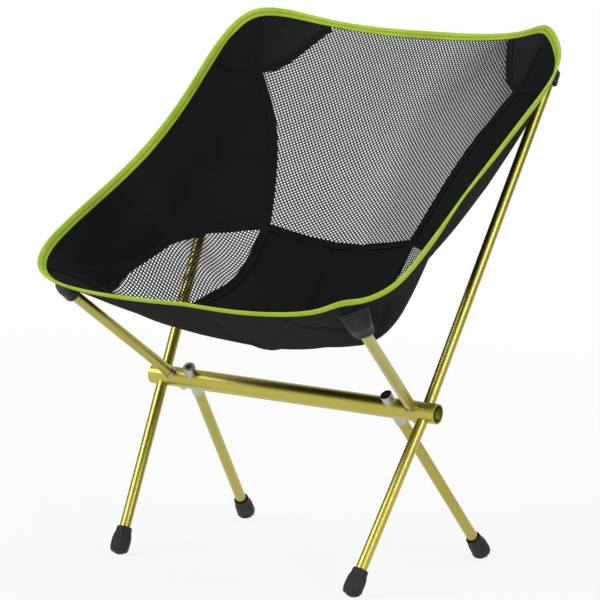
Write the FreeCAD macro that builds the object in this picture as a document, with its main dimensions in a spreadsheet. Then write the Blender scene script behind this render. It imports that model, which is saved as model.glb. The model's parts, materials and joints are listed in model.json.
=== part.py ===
"""Ultralight backpacking chair: aluminium pole frame through one hub tube, with a stitched sling seat.

Frame: +Z up, front of the chair towards -Y, left and right as seen from the front (left is -X).
The origin is on the ground, at the centre of the chair's outline. All lengths are in millimetres.
"""

import FreeCAD, Part
import Sketcher
import bisect
import math
import os
from FreeCAD import Placement, Rotation, Vector

os.makedirs("parts", exist_ok=True)
doc = FreeCAD.newDocument("BackpackingChair")
sheet = doc.addObject("Spreadsheet::Sheet", "Sizes")


class Size:
    """A number that also knows the spreadsheet expression behind it."""

    def __init__(self, number, text):
        self.number = number
        self.text = text

    def __add__(self, other):
        other = as_size(other)
        return Size(self.number + other.number, f"({self.text} + {other.text})")

    def __radd__(self, other):
        return as_size(other) + self

    def __sub__(self, other):
        other = as_size(other)
        return Size(self.number - other.number, f"({self.text} - {other.text})")

    def __rsub__(self, other):
        return as_size(other) - self

    def __mul__(self, other):
        other = as_size(other)
        return Size(self.number * other.number, f"({self.text} * {other.text})")

    def __rmul__(self, other):
        return as_size(other) * self

    def __truediv__(self, other):
        other = as_size(other)
        return Size(self.number / other.number, f"({self.text} / {other.text})")

    def __neg__(self):
        return Size(-self.number, f"(-1 * {self.text})")


def as_size(value):
    """Wraps a plain number so that it can be mixed with named sizes."""
    return value if isinstance(value, Size) else Size(float(value), repr(float(value)))


def root_of_squares(*parts):
    """The length of a vector whose components are sizes."""
    parts = [as_size(part) for part in parts]
    number = math.sqrt(sum(part.number**2 for part in parts))
    return Size(number, "sqrt(" + " + ".join(f"{part.text} ^ 2" for part in parts) + ")")


rows_used = 0


def size(alias, value):
    """Writes one driving dimension into the sheet and returns it as a Size."""
    global rows_used
    rows_used += 1
    sheet.set(f"A{rows_used}", alias)
    sheet.set(f"B{rows_used}", str(value))
    sheet.setAlias(f"B{rows_used}", alias)
    return Size(float(value), f"Sizes.{alias}")


def bind(target, prop, value):
    """Binds a property of an object to a size."""
    target.setExpression(prop, as_size(value).text)


# --- Driving dimensions: poles, sockets and fits -------------------------------------------------

pole_outer = size("pole_outer", 13.5)
pole_wall = size("pole_wall", 0.8)
slide_clearance = size("slide_clearance", 0.1)
seat_gap = size("seat_gap", 0.2)
pole_bore = pole_outer - 2 * pole_wall

hub_outer = size("hub_outer", 24.5)
hub_wall = size("hub_wall", 1.5)
hub_length = size("hub_length", 408)
hub_y = size("hub_y", -13.6)
hub_z = size("hub_z", 204.2)

socket_wall = size("socket_wall", 0.9)
socket_bore = pole_outer + 2 * slide_clearance
socket_outer = socket_bore + 2 * socket_wall
lip_hole = size("lip_hole", 8)
lip_thickness = size("lip_thickness", 1.6)
lip_rounding = size("lip_rounding", 1.1)

rear_pole_hub_x = hub_length / 2 - size("rear_pole_inset", 16.4)
seat_pole_hub_x = rear_pole_hub_x - size("seat_pole_step", 16.6)
rear_leg_hub_x = seat_pole_hub_x - size("rear_leg_step", 27.1)

ferrule_bore = size("ferrule_bore", 6.5)
ferrule_reach = size("ferrule_reach", 40)
collar_half = size("collar_half", 9.4)
ferrule_outer = pole_bore - 2 * slide_clearance

# --- Driving dimensions: where the poles go ------------------------------------------------------

front_foot_x = size("front_foot_x", 165.3)
front_foot_y = size("front_foot_y", -131.4)
rear_foot_x = size("rear_foot_x", 175.5)
rear_foot_y = size("rear_foot_y", 167.5)

back_tip_x = size("back_tip_x", 221.4)
back_tip_y = size("back_tip_y", 196.8)
back_tip_z = size("back_tip_z", 600.8)
rear_lower_length = size("rear_lower_length", 242)
rear_joint_reach = size("rear_joint_reach", 32)

seat_tip_x = size("seat_tip_x", 205.7)
seat_tip_y = size("seat_tip_y", -201)
seat_tip_z = size("seat_tip_z", 329.4)

seat_socket_mouth = size("seat_socket_mouth", 15.5)
seat_socket_end = size("seat_socket_end", 21)
leg_socket_mouth = size("leg_socket_mouth", 23.5)
leg_socket_end = size("leg_socket_end", 23.5)

# --- Driving dimensions: feet, tips, cord --------------------------------------------------------

foot_top_outer = size("foot_top_outer", 18.5)
foot_base_outer = size("foot_base_outer", 23.5)
foot_length = size("foot_length", 34)
foot_widest = size("foot_widest", 8.5)
foot_floor = size("foot_floor", 11)
foot_rim_wall = size("foot_rim_wall", 1.2)
foot_rim_depth = size("foot_rim_depth", 5)
foot_worn_depth = size("foot_worn_depth", 0.8)

tip_plug_length = size("tip_plug_length", 12)
tip_head_length = size("tip_head_length", 4)
tip_rounding = size("tip_rounding", 2.5)
cord_outer = size("cord_outer", 2.6)
cord_stop_flange = size("cord_stop_flange", 11.2)
cord_stop_length = size("cord_stop_length", 7)

# --- Driving dimensions: sling seat --------------------------------------------------------------

fabric_thickness = size("fabric_thickness", 1)
seam_gap = size("seam_gap", 0.4)
tape_width = size("tape_width", 10)
tape_thickness = size("tape_thickness", 2.4)
tape_gap = size("tape_gap", 1.2)


def spot(name, x, y, z=None):
    """A named point: each of its coordinates is a size of its own."""
    point = [size(name + "_x", x), size(name + "_y", y)]
    if z is not None:
        point.append(size(name + "_z", z))
    return point


def beyond(base, name, x, y, z):
    """A point whose named coordinates are offsets from another point, such as a pole tip."""
    return [start + step for start, step in zip(base, spot(name, x, y, z))]


back_tip = (back_tip_x, back_tip_y, back_tip_z)
seat_tip = (seat_tip_x, seat_tip_y, seat_tip_z)
bowl = (size("bowl_y", -30), size("bowl_z", 258))

# The rim of the sling on the right side, from the middle of the back to the middle of the front.
back_middle = [as_size(0), back_tip_y + size("back_middle_y", 74.1), back_tip_z + size("back_middle_z", 34)]
front_middle = [as_size(0), seat_tip_y - size("front_middle_y", 53.5), seat_tip_z + size("front_middle_z", 7.6)]
rim_stations = [
    back_middle,
    beyond(back_tip, "back_patch", -86.7, 63.1, 40.6),
    beyond(back_tip, "back_peak", -4.9, 2, 50.3),
    beyond(back_tip, "back_side", 18.7, -17.9, 26.9),
    spot("wing_high", 243.3, 111.5, 566.4),
    spot("wing_middle", 236.8, -22.2, 472.8),
    spot("wing_low", 244.3, -153.2, 398.6),
    beyond(seat_tip, "front_side", 32.8, -1.3, 42.9),
    beyond(seat_tip, "front_corner", -41.8, -68, 15.2),
    front_middle,
]

# How the fabric rises from the bottom of the bowl to the rim, in nine directions from the front
# round to the back: a share of it rises straight, a share as a wall that is steepest half way up,
# and the rest by a power of the distance.
rise_straight = [
    size("straight_front", 0.7),
    size("straight_near_front", 0.8),
    size("straight_front_corner", 0.7),
    size("straight_near_front_side", 0.12),
    size("straight_side", 0.39),
    size("straight_near_back_side", 0.6),
    size("straight_back_corner", 0.12),
    size("straight_near_back", 0.54),
    size("straight_back", 0.85),
]
rise_wall = [
    size("wall_front", 0.2),
    size("wall_near_front", 0.1),
    size("wall_front_corner", 0.04),
    size("wall_near_front_side", 0.04),
    size("wall_side", 0.14),
    size("wall_near_back_side", 0.06),
    size("wall_back_corner", 0.63),
    size("wall_near_back", 0.44),
    size("wall_back", 0.13),
]
rise_power = [
    size("power_front", 1.4),
    size("power_near_front", 1.2),
    size("power_front_corner", 2.8),
    size("power_near_front_side", 5.4),
    size("power_side", 2.2),
    size("power_near_back_side", 4.4),
    size("power_back_corner", 7.4),
    size("power_near_back", 7),
    size("power_back", 6.8),
]
bowl_softness = size("bowl_softness", 0.25)
evening_share = size("evening_share", 0.35)
evening_reach = size("evening_reach", 60)

# Where the seams run, in plan, on the right side.
back_knot = spot("back_knot", 189, 173)
side_knot = spot("side_knot", 105, 77)
front_knot = spot("front_knot", 194, -140)
mesh_bottom_y = size("mesh_bottom_y", 91.5)
mesh_side = [spot("mesh_side_high", 170, 164), spot("mesh_side_middle", 148, 148), spot("mesh_side_low", 125, 118)]
patch_seam = [spot("patch_seam_top", 130, 263), spot("patch_seam_bend", 149, 219), spot("patch_seam_low", 170, 188)]
corner_seam = spot("corner_seam", 209, 205)
wing_seam = spot("wing_seam", 246, 154)
front_seam = spot("front_seam", 215, -235)
side_outer = [spot("side_outer_high", 157, 36), spot("side_outer_middle", 166, -26), spot("side_outer_low", 197, -91)]
side_inner = [spot("side_inner_high", 103, 44), spot("side_inner_low", 130, -74)]

pocket_wall = size("pocket_wall", 1.2)
pocket_clearance = size("pocket_clearance", 0.3)
front_pocket_cover = size("front_pocket_cover", 27)
rear_pocket_cover = size("rear_pocket_cover", 22)
pocket_reach = size("pocket_reach", 60)
doc.recompute()

# --- Building blocks -----------------------------------------------------------------------------

nodes = {}


def keep(label, node, placement=None):
    """Names an object as one sub-part and puts it in its place."""
    node.Label = label
    if placement is not None:
        node.Placement = placement
    nodes[label] = node
    return node


def origin_plane(body, role):
    """One of a body's own origin planes."""
    return next(item for item in body.Origin.OriginFeatures if item.Role == role)


def new_sketch(body, name, role):
    """An empty sketch on one of the body's origin planes."""
    sketch = body.newObject("Sketcher::SketchObject", name)
    sketch.AttachmentSupport = [(origin_plane(body, role), "")]
    sketch.MapMode = "FlatFace"
    return sketch


def ring_sketch(body, name, role, outer, inner):
    """Two circles about the sketch origin, given by their diameters."""
    sketch = new_sketch(body, name, role)
    for title, diameter in (("outer", outer), ("inner", inner)):
        radius = diameter / 2
        circle = Part.Circle(Vector(0, 0, 0), Vector(0, 0, 1), radius.number)
        index = sketch.addGeometry(circle, False)
        sketch.addConstraint(Sketcher.Constraint("Coincident", index, 3, -1, 1))
        number = sketch.addConstraint(Sketcher.Constraint("Radius", index, radius.number))
        sketch.renameConstraint(number, title)
        sketch.setExpression("Constraints." + title, radius.text)
    return sketch


def tube(name, outer, inner, length):
    """A straight tube that stands on the origin along +Z."""
    body = doc.addObject("PartDesign::Body", name)
    pad = body.newObject("PartDesign::Pad", name + "_length")
    pad.Profile = ring_sketch(body, name + "_ring", "XY_Plane", outer, inner)
    bind(pad, "Length", length)
    return body


def turned(name, points, domed=False):
    """A body turned about its Z axis; points are (radius, height) pairs of sizes, none negative.

    Where it is domed, the first side is an arc about the axis that leaves the first point squarely.
    """
    body = doc.addObject("PartDesign::Body", name)
    sketch = new_sketch(body, name + "_profile", "XZ_Plane")
    points = [(as_size(radius), as_size(height)) for radius, height in points]
    corners = [Vector(radius.number, height.number, 0) for radius, height in points]
    count = len(points)
    for i in range(count):
        side = Part.LineSegment(corners[i], corners[(i + 1) % count])
        if domed and i == 0:
            reach, rise = corners[1].x, corners[1].y
            radius = (reach**2 + rise**2) / (2 * rise)
            circle = Part.Circle(Vector(0, radius, 0), Vector(0, 0, 1), radius)
            side = Part.ArcOfCircle(circle, -math.pi / 2, math.atan2(rise - radius, reach))
        sketch.addGeometry(side, False)
    if domed:
        sketch.addConstraint(Sketcher.Constraint("PointOnObject", 0, 3, -2))
    for i in range(count):
        sketch.addConstraint(Sketcher.Constraint("Coincident", i, 2, (i + 1) % count, 1))
    for i, (radius, height) in enumerate(points):
        for axis, line, value in (("DistanceX", -2, radius), ("DistanceY", -1, height)):
            if value.number == 0:
                sketch.addConstraint(Sketcher.Constraint("PointOnObject", i, 1, line))
                continue
            number = sketch.addConstraint(Sketcher.Constraint(axis, -1, 1, i, 1, value.number))
            title = f"{axis}_{i}"
            sketch.renameConstraint(number, title)
            sketch.setExpression("Constraints." + title, value.text)
    turn = body.newObject("PartDesign::Revolution", name + "_turn")
    turn.Profile = sketch
    turn.ReferenceAxis = (sketch, ["V_Axis"])
    turn.Angle = 360
    return body


def round_edges(body, name, radius, wanted):
    """Rounds the circular edges whose (radius, height) are near one of the wanted pairs."""
    doc.recompute()
    base = body.Tip
    found = []
    for i, edge in enumerate(base.Shape.Edges):
        if not isinstance(edge.Curve, Part.Circle):
            continue
        for ring_radius, height in wanted:
            near = abs(edge.Curve.Radius - as_size(ring_radius).number) < 0.01
            if near and abs(edge.Curve.Center.z - as_size(height).number) < 0.01:
                found.append(f"Edge{i + 1}")
    fillet = body.newObject("PartDesign::Fillet", name)
    fillet.Base = (base, found)
    bind(fillet, "Radius", radius)
    return fillet


def rod(name, diameter, length, placement):
    """A plain cylinder for use in booleans."""
    cylinder = doc.addObject("Part::Cylinder", name)
    bind(cylinder, "Radius", diameter / 2)
    bind(cylinder, "Height", length)
    cylinder.Placement = placement
    return cylinder


def fused(name, pieces):
    """The union of several objects."""
    union = doc.addObject("Part::MultiFuse", name)
    union.Shapes = pieces
    return union


def cut(name, base, tool):
    """One object less another."""
    result = doc.addObject("Part::Cut", name)
    result.Base = base
    result.Tool = tool
    return result


def aim(start, direction, shift=0.0):
    """Places an object so that its +Z runs along direction, shifted that far from start."""
    step = Vector(direction).normalize()
    return Placement(start + step * shift, Rotation(Vector(0, 0, 1), step))


# --- Axes of the frame ---------------------------------------------------------------------------


class PoleLine:
    """A straight line from the hub axis to the far end of a pole, on one side of the chair."""

    def __init__(self, side, hub_x, end):
        self.side = side
        self.start = Vector(side * hub_x.number, hub_y.number, hub_z.number)
        self.end = Vector(side * end[0].number, end[1].number, end[2].number)
        self.direction = (self.end - self.start).normalize()
        self.length = root_of_squares(end[0] - hub_x, end[1] - hub_y, end[2] - hub_z)

    def out(self, shift):
        """Placement that far from the hub axis, with +Z away from the hub."""
        return aim(self.start, self.direction, as_size(shift).number)

    def back(self, shift):
        """Placement that far from the hub axis, with +Z towards the hub."""
        return aim(self.start + self.direction * as_size(shift).number, self.direction * -1)


def bent_rod(name, diameter, reach, up, down):
    """A round rod that follows two pole lines out of the hub and is mitred where they meet."""
    low_end = down.out(reach).Base
    path = doc.addObject("Part::Feature", name + "_path")
    path.Shape = Part.Wire([Part.makeLine(low_end, up.start), Part.makeLine(up.start, up.out(reach).Base)])
    ring = doc.addObject("Part::Circle", name + "_ring")
    bind(ring, "Radius", diameter / 2)
    ring.Placement = Placement(low_end, down.back(reach).Rotation)
    sweep = doc.addObject("Part::Sweep", name)
    sweep.Sections = [ring]
    sweep.Spine = (path, ["Edge1", "Edge2"])
    sweep.Solid = True
    sweep.Transition = "Right corner"
    return sweep


ground = size("ground", 0)
SIDES = {"left": -1, "right": 1}
front_legs = {}
rear_legs = {}
rear_poles = {}
seat_poles = {}
for side_name, side in SIDES.items():
    front_legs[side_name] = PoleLine(side, rear_pole_hub_x, (front_foot_x, front_foot_y, ground))
    rear_legs[side_name] = PoleLine(side, rear_leg_hub_x, (rear_foot_x, rear_foot_y, ground))
    rear_poles[side_name] = PoleLine(side, rear_pole_hub_x, (back_tip_x, back_tip_y, back_tip_z))
    seat_poles[side_name] = PoleLine(side, seat_pole_hub_x, (seat_tip_x, seat_tip_y, seat_tip_z))

# --- Hub tube, drilled for the sockets and ferrules ----------------------------------------------

hub = doc.addObject("PartDesign::Body", "hub")
hub_pad = hub.newObject("PartDesign::Pad", "hub_length")
hub_pad.Profile = ring_sketch(hub, "hub_ring", "YZ_Plane", hub_outer, hub_outer - 2 * hub_wall)
hub_pad.SideType = "Symmetric"
bind(hub_pad, "Length", hub_length)
hub_centre = Vector(0, hub_y.number, hub_z.number)


def drill(name, diameter, line, start, length):
    """Drills the hub along a pole line, from a distance to the hub axis."""
    hole = hub.newObject("PartDesign::SubtractiveCylinder", name)
    bind(hole, "Radius", diameter / 2)
    bind(hole, "Height", length)
    place = line.out(start)
    hole.Placement = Placement(place.Base - hub_centre, place.Rotation)


for side_name in SIDES:
    drill("hub_hole_upper_" + side_name, socket_bore, rear_poles[side_name], 0, hub_outer)
    drill("hub_hole_lower_" + side_name, socket_bore, front_legs[side_name], 0, hub_outer)
    drill("hub_hole_seat_" + side_name, socket_outer, seat_poles[side_name], -hub_outer, hub_outer * 2)
    drill("hub_hole_leg_" + side_name, socket_outer, rear_legs[side_name], -hub_outer, hub_outer * 2)
keep("hub_tube", hub, Placement(hub_centre, Rotation()))


# --- Sockets, ferrules, cord and cord stops in the hub -------------------------------------------


def socket(label, line, mouth, end):
    """A tube through the hub with its far end rolled in to a lip that stops the pole."""
    length = mouth + end
    outer = socket_outer / 2
    body = turned(
        label,
        [
            (socket_bore / 2, 0),
            (outer, 0),
            (outer, length),
            (lip_hole / 2, length),
            (lip_hole / 2, length - lip_thickness),
            (socket_bore / 2, length - lip_thickness),
        ],
    )
    round_edges(body, label + "_rolled_end", lip_rounding, [(outer, length)])
    keep(label, body, line.back(mouth))


def cord_stop(label, line, end):
    """A moulded stop that sits in the rolled end of a socket and holds the cord."""
    hole = cord_outer / 2
    body = turned(
        label,
        [
            (hole, 0),
            (cord_stop_flange / 2, 0),
            (cord_stop_flange / 2, cord_stop_length - lip_thickness),
            (lip_hole / 2, cord_stop_length - lip_thickness),
            (lip_hole / 2, cord_stop_length),
            (hole, cord_stop_length),
        ],
    )
    keep(label, body, line.back(cord_stop_length - end))


for side_name in SIDES:
    up = rear_poles[side_name]
    down = front_legs[side_name]
    socket("seat_pole_socket_" + side_name, seat_poles[side_name], seat_socket_mouth, seat_socket_end)
    socket("rear_leg_socket_" + side_name, rear_legs[side_name], leg_socket_mouth, leg_socket_end)

    label = "hub_ferrule_" + side_name
    spigots = bent_rod(label + "_spigots", ferrule_outer, ferrule_reach, up, down)
    collar = bent_rod(label + "_collar", socket_bore, collar_half, up, down)
    bore = bent_rod(label + "_bore", ferrule_bore, ferrule_reach, up, down)
    keep(label, cut(label, fused(label + "_solid", [spigots, collar]), bore))


# --- Poles, joint ferrules, tip caps and cords ---------------------------------------------------


def pole(label, line, start, end):
    """A pole tube between two distances from the hub axis."""
    keep(label, tube(label, pole_outer, pole_bore, end - start), line.out(start))


def cord(label, line, start, end):
    """A straight elastic cord between two distances from the hub axis."""
    keep(label, rod(label, cord_outer, end - start, line.out(start)))


def tip_cap(label, line):
    """A solid cap plugged into the end of a pole, with a rounded head."""
    plug = ferrule_outer / 2
    head = pole_outer / 2
    length = tip_plug_length + tip_head_length
    body = turned(
        label,
        [
            (0, 0),
            (plug, 0),
            (plug, tip_plug_length),
            (head, tip_plug_length),
            (head, length),
            (0, length),
        ],
    )
    round_edges(body, label + "_rounding", tip_rounding, [(head, length)])
    keep(label, body, line.out(line.length - length))


def foot_shift(line):
    """How far short of the ground the domed end of a foot stops, so that its worn pad lies flat."""
    dome = foot_base_outer * foot_base_outer / (8 * foot_widest) + foot_widest / 2
    upright = hub_z / line.length
    return (dome - foot_worn_depth) / upright - dome


def foot(label, line):
    """A moulded rubber foot, turned about the leg and worn flat where it stands on the ground."""
    bore = pole_outer / 2
    top = foot_top_outer / 2
    moulding = turned(
        label + "_moulding",
        [
            (0, 0),
            (foot_base_outer / 2, foot_widest),
            (top, foot_length),
            (top - foot_rim_wall, foot_length),
            (bore, foot_length - foot_rim_depth),
            (bore, foot_floor),
            (0, foot_floor),
        ],
        domed=True,
    )
    moulding.Placement = line.back(line.length - foot_shift(line))
    keep(label, cut(label, moulding, ground_slab))


ground_slab = doc.addObject("Part::Box", "ground_slab")
for side_length in ("Length", "Width"):
    bind(ground_slab, side_length, hub_length * 2)
bind(ground_slab, "Height", foot_length)
ground_slab.Placement.Base = Vector(-hub_length.number, -hub_length.number, -foot_length.number)

for side_name in SIDES:
    rear = rear_poles[side_name]
    seat = seat_poles[side_name]
    leg = rear_legs[side_name]
    front = front_legs[side_name]
    cap_length = tip_plug_length + tip_head_length

    joint = collar_half + seat_gap + rear_lower_length
    pole("rear_lower_pole_" + side_name, rear, collar_half + seat_gap, joint)
    pole("rear_upper_pole_" + side_name, rear, joint + seat_gap, rear.length - tip_head_length)
    tip_cap("rear_tip_cap_" + side_name, rear)
    keep(
        "rear_pole_ferrule_" + side_name,
        tube("rear_pole_ferrule_" + side_name, ferrule_outer, ferrule_bore, rear_joint_reach * 2),
        rear.out(joint - rear_joint_reach),
    )

    seat_end = lip_thickness + seat_gap - seat_socket_end
    pole("front_seat_pole_" + side_name, seat, seat_end, seat.length - tip_head_length)
    tip_cap("front_tip_cap_" + side_name, seat)

    front_end = front.length - foot_shift(front) - foot_floor
    pole("front_leg_" + side_name, front, collar_half + seat_gap, front_end)
    foot("front_foot_" + side_name, front)

    leg_start = lip_thickness + seat_gap - leg_socket_end
    leg_end = leg.length - foot_shift(leg) - foot_floor
    pole("rear_leg_" + side_name, leg, leg_start, leg_end)
    foot("rear_foot_" + side_name, leg)

    cord("back_cord_" + side_name, rear, as_size(0), rear.length - cap_length)
    cord("front_leg_cord_" + side_name, front, as_size(0), front_end)
    cord("seat_pole_cord_" + side_name, seat, -seat_socket_end, seat.length - cap_length)
    cord("rear_leg_cord_" + side_name, leg, -leg_socket_end, leg_end)
    cord_stop("seat_pole_cord_stop_" + side_name, seat, seat_socket_end)
    cord_stop("rear_leg_cord_stop_" + side_name, leg, leg_socket_end)

# --- Sling surface -------------------------------------------------------------------------------


def at(point, side=1):
    """A vector from three sizes, mirrored to the left where side is -1."""
    return Vector(side * point[0].number, point[1].number, point[2].number)


ACROSS = Vector(1, 0, 0)
RIM_SPACING = 0.8
RIM_SAMPLES = 180


def half_loop(points, spacing=1.0):
    """The right half of a loop as a smooth curve that crosses the middle of the chair squarely."""
    knots = [0.0]
    for here, following in zip(points, points[1:]):
        knots.append(knots[-1] + here.distanceToPoint(following) ** spacing)
    curve = Part.BSplineCurve()
    curve.interpolate(
        Points=points, Parameters=knots, InitialTangent=ACROSS, FinalTangent=ACROSS * -1, Scale=False
    )
    return curve


def mirrored(shape):
    """The left-hand twin of a right-hand shape."""
    return shape.mirror(Vector(0, 0, 0), ACROSS)


bowl_y, bowl_z = bowl
rim = half_loop([at(point) for point in rim_stations], RIM_SPACING)


def bearing(x, y):
    """The direction of a place in plan from the bottom of the bowl: 0 at the front, pi at the back."""
    return math.atan2(abs(x), -(y - bowl_y.number))


def along(curve, share):
    """The curve's parameter at a share of its span."""
    return curve.FirstParameter + (curve.LastParameter - curve.FirstParameter) * share


right_rim = [rim.value(along(rim, i / RIM_SAMPLES)) for i in range(RIM_SAMPLES + 1)]
rim_table = sorted(
    (bearing(point.x, point.y), math.hypot(point.x, point.y - bowl_y.number), point.z) for point in right_rim
)


rim_bearings = [row[0] for row in rim_table]


def rim_at(angle):
    """The rim's distance and height in one direction."""
    index = min(max(bisect.bisect_left(rim_bearings, angle), 1), RIM_SAMPLES)
    low, high = rim_table[index - 1], rim_table[index]
    share = min(max((angle - low[0]) / (high[0] - low[0]), 0), 1)
    return [low[i] + (high[i] - low[i]) * share for i in (1, 2)]


def round_value(stations, angle):
    """A value that changes smoothly between evenly spaced stations, from the front to the back."""
    place = angle / math.pi * (len(stations) - 1)
    index = min(int(place), len(stations) - 2)
    share = place - index
    share = share * share * (3 - 2 * share)
    return stations[index].number * (1 - share) + stations[index + 1].number * share


def plain_height(x, y):
    """The height over a place in plan by the rises alone; past the rim it carries on straight."""
    angle = bearing(x, y)
    rim_distance, rim_height = rim_at(angle)
    straight = round_value(rise_straight, angle)
    wall = round_value(rise_wall, angle)
    power = round_value(rise_power, angle)
    rest = 1 - straight - wall
    share = math.hypot(x, y - bowl_y.number) / rim_distance
    inside = min(share, 1)
    soft = bowl_softness.number
    line = (math.sqrt(share * share + soft * soft) - soft) / (math.sqrt(1 + soft * soft) - soft)
    step = inside * inside * (3 - 2 * inside)
    rise = straight * line + wall * step + rest * inside**power + rest * power * max(0, share - 1)
    return bowl_z.number + (rim_height - bowl_z.number) * rise


EVENING_RINGS = 3
EVENING_SPOKES = 12


def sling_height(x, y):
    """The height of the fabric: the mean over a disc that shrinks to nothing towards the rim."""
    room = rim_at(bearing(x, y))[0] - math.hypot(x, y - bowl_y.number)
    radius = min(max(evening_share.number * room, 0), evening_reach.number)
    total = plain_height(x, y)
    for ring in range(1, EVENING_RINGS + 1):
        for spoke in range(EVENING_SPOKES):
            turn = math.tau * (spoke + 0.5) / EVENING_SPOKES
            reach = radius * ring / EVENING_RINGS
            total += plain_height(x + reach * math.sin(turn), y + reach * math.cos(turn))
    return total / (1 + EVENING_RINGS * EVENING_SPOKES)


GRID_ACROSS = 34
GRID_ALONG = 36
MARGIN = 20
half_across = max(point.x for point in right_rim) + MARGIN
grid_front = min(point.y for point in right_rim) - MARGIN
grid_back = max(point.y for point in right_rim) + MARGIN


def grid_place(i, j):
    """A place in plan, from shares of the grid."""
    return (
        half_across * (2 * i / GRID_ACROSS - 1),
        grid_front + (grid_back - grid_front) * j / GRID_ALONG,
    )


def surface_through(rows):
    """A smooth surface through a grid of points."""
    surface = Part.BSplineSurface()
    surface.interpolate(rows)
    return surface


def place_on_sling(i, j):
    """A point of the fabric's upper side over the grid."""
    x, y = grid_place(i, j)
    return Vector(x, y, sling_height(x, y))


upper_rows = [[place_on_sling(i, j) for j in range(GRID_ALONG + 1)] for i in range(GRID_ACROSS + 1)]
upper = surface_through(upper_rows)


def normal_at(point):
    """The upward normal of the fabric nearest a point."""
    u, v = upper.parameter(point)
    normal = upper.normal(u, v)
    return normal if normal.z > 0 else normal * -1


lower_rows = [[point - normal_at(point) * fabric_thickness.number for point in row] for row in upper_rows]
lower = surface_through(lower_rows)


def boundary(surface):
    """The four edges of an untrimmed surface, in order round it."""
    u0, u1, v0, v1 = surface.bounds()
    return [
        surface.vIso(v0).toShape(),
        surface.uIso(u1).toShape(),
        surface.vIso(v1).toShape(),
        surface.uIso(u0).toShape(),
    ]


def solid_of(faces):
    """A closed solid sewn from faces."""
    shell = Part.Shell(faces)
    shell.sewShape()
    solid = Part.Solid(shell)
    if solid.Volume < 0:
        solid.reverse()
    return solid


walls = [Part.makeRuledSurface(a, b) for a, b in zip(boundary(upper), boundary(lower))]
fabric = solid_of([upper.toShape(), lower.toShape()] + walls)

# --- Binding tape round the rim ------------------------------------------------------------------

TAPE_STATIONS = 40


def tape_frame(share):
    """A point of the rim, the inward direction along the fabric and the fabric's normal there."""
    parameter = along(rim, share)
    point = rim.value(parameter)
    tangent = rim.tangent(parameter)[0]
    normal = normal_at(point)
    inward = normal.cross(tangent).normalize()
    if inward.dot(Vector(-point.x, bowl_y.number - point.y, 0)) < 0:
        inward = inward * -1
    return point, inward, normal


tape_frames = [tape_frame(i / TAPE_STATIONS) for i in range(TAPE_STATIONS + 1)]


def in_middle(index, point):
    """Holds the first and last points of a half loop on the middle of the chair."""
    return Vector(0, point.y, point.z) if index in (0, TAPE_STATIONS) else point


def tape_edge(depth, lift):
    """The right half of a line along the rim, set in along the fabric and lifted off it."""
    points = [point + inward * depth + normal * lift for point, inward, normal in tape_frames]
    return half_loop([in_middle(i, point) for i, point in enumerate(points)])


def tape_solid(width, thickness):
    """A closed band round the rim, centred on the fabric's thickness."""
    middle = -fabric_thickness.number / 2
    top = middle + thickness / 2
    bottom = middle - thickness / 2
    corners = [(0, top), (width, top), (width, bottom), (0, bottom)]
    edges = [tape_edge(depth, lift).toShape() for depth, lift in corners]
    faces = [Part.makeRuledSurface(edges[i], edges[(i + 1) % 4]) for i in range(4)]
    return solid_of(faces + [mirrored(face) for face in faces])


binding = doc.addObject("Part::Feature", "binding")
binding.Shape = tape_solid(tape_width.number, tape_thickness.number)
keep("binding", binding)

# --- Fabric panels -------------------------------------------------------------------------------

SKY = 1000.0


def column(wire):
    """A tall upright prism over a closed outline in plan."""
    return Part.Face(wire).extrude(Vector(0, 0, SKY))


def plan_curve(points):
    """A line, an arc or a smooth curve in plan through two, three or more points."""
    if len(points) == 2:
        return Part.LineSegment(*points).toShape()
    if len(points) == 3:
        return Part.Arc(*points).toShape()
    curve = Part.BSplineCurve()
    curve.interpolate(points)
    return curve.toShape()


edge_depth = tape_width.number + tape_gap.number
sewn_points = [point + inward * edge_depth for point, inward, normal in tape_frames]
sewn_points = [Vector(point.x, point.y, 0) for point in sewn_points]
sewn_half = half_loop([in_middle(i, point) for i, point in enumerate(sewn_points)]).toShape()
trimmed_fabric = fabric.common(column(Part.Wire([sewn_half, mirrored(sewn_half)])))


def plain_edges(wire):
    """The edges of a wire rebuilt as ordinary splines, end to end."""
    edges = [edge.Curve.toBSpline(edge.FirstParameter, edge.LastParameter).toShape() for edge in wire.Edges]
    return Part.Wire(Part.__sortEdges__(edges))


def panel(label, *curves):
    """A panel of the sling whose seams run along curves in plan, drawn end to end."""
    edges = [plan_curve(points) for points in curves]
    outline = Part.Wire(Part.__sortEdges__(edges))
    inset = outline.makeOffset2D(-seam_gap.number / 2)
    piece = doc.addObject("Part::Feature", label)
    piece.Shape = trimmed_fabric.common(column(plain_edges(inset))).Solids[0]
    keep(label, piece)


def flat(point, side=1):
    """A seam point in plan, mirrored to the left where side is -1."""
    return Vector(side * point[0].number, point[1].number, 0)


PAST_RIM = 3.0


def outside(start, end, side=1):
    """A place in plan well past the rim, straight on along the last stretch of a seam."""
    start, end = flat(start, side), flat(end, side)
    return start + (end - start) * PAST_RIM


mesh_bottom = Vector(0, mesh_bottom_y.number, 0)


def seams(side):
    """The seams of one side of the sling as lists of plan points, each from back to front."""
    return {
        "mesh_side": [flat(point, side) for point in [back_knot, *mesh_side, side_knot]],
        "patch": [flat(point, side) for point in patch_seam] + [flat(back_knot, side)],
        "side_outer": [flat(point, side) for point in [side_knot, *side_outer, front_knot]],
        "side_inner": [flat(point, side) for point in [side_knot, *side_inner, front_knot]],
    }


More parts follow.
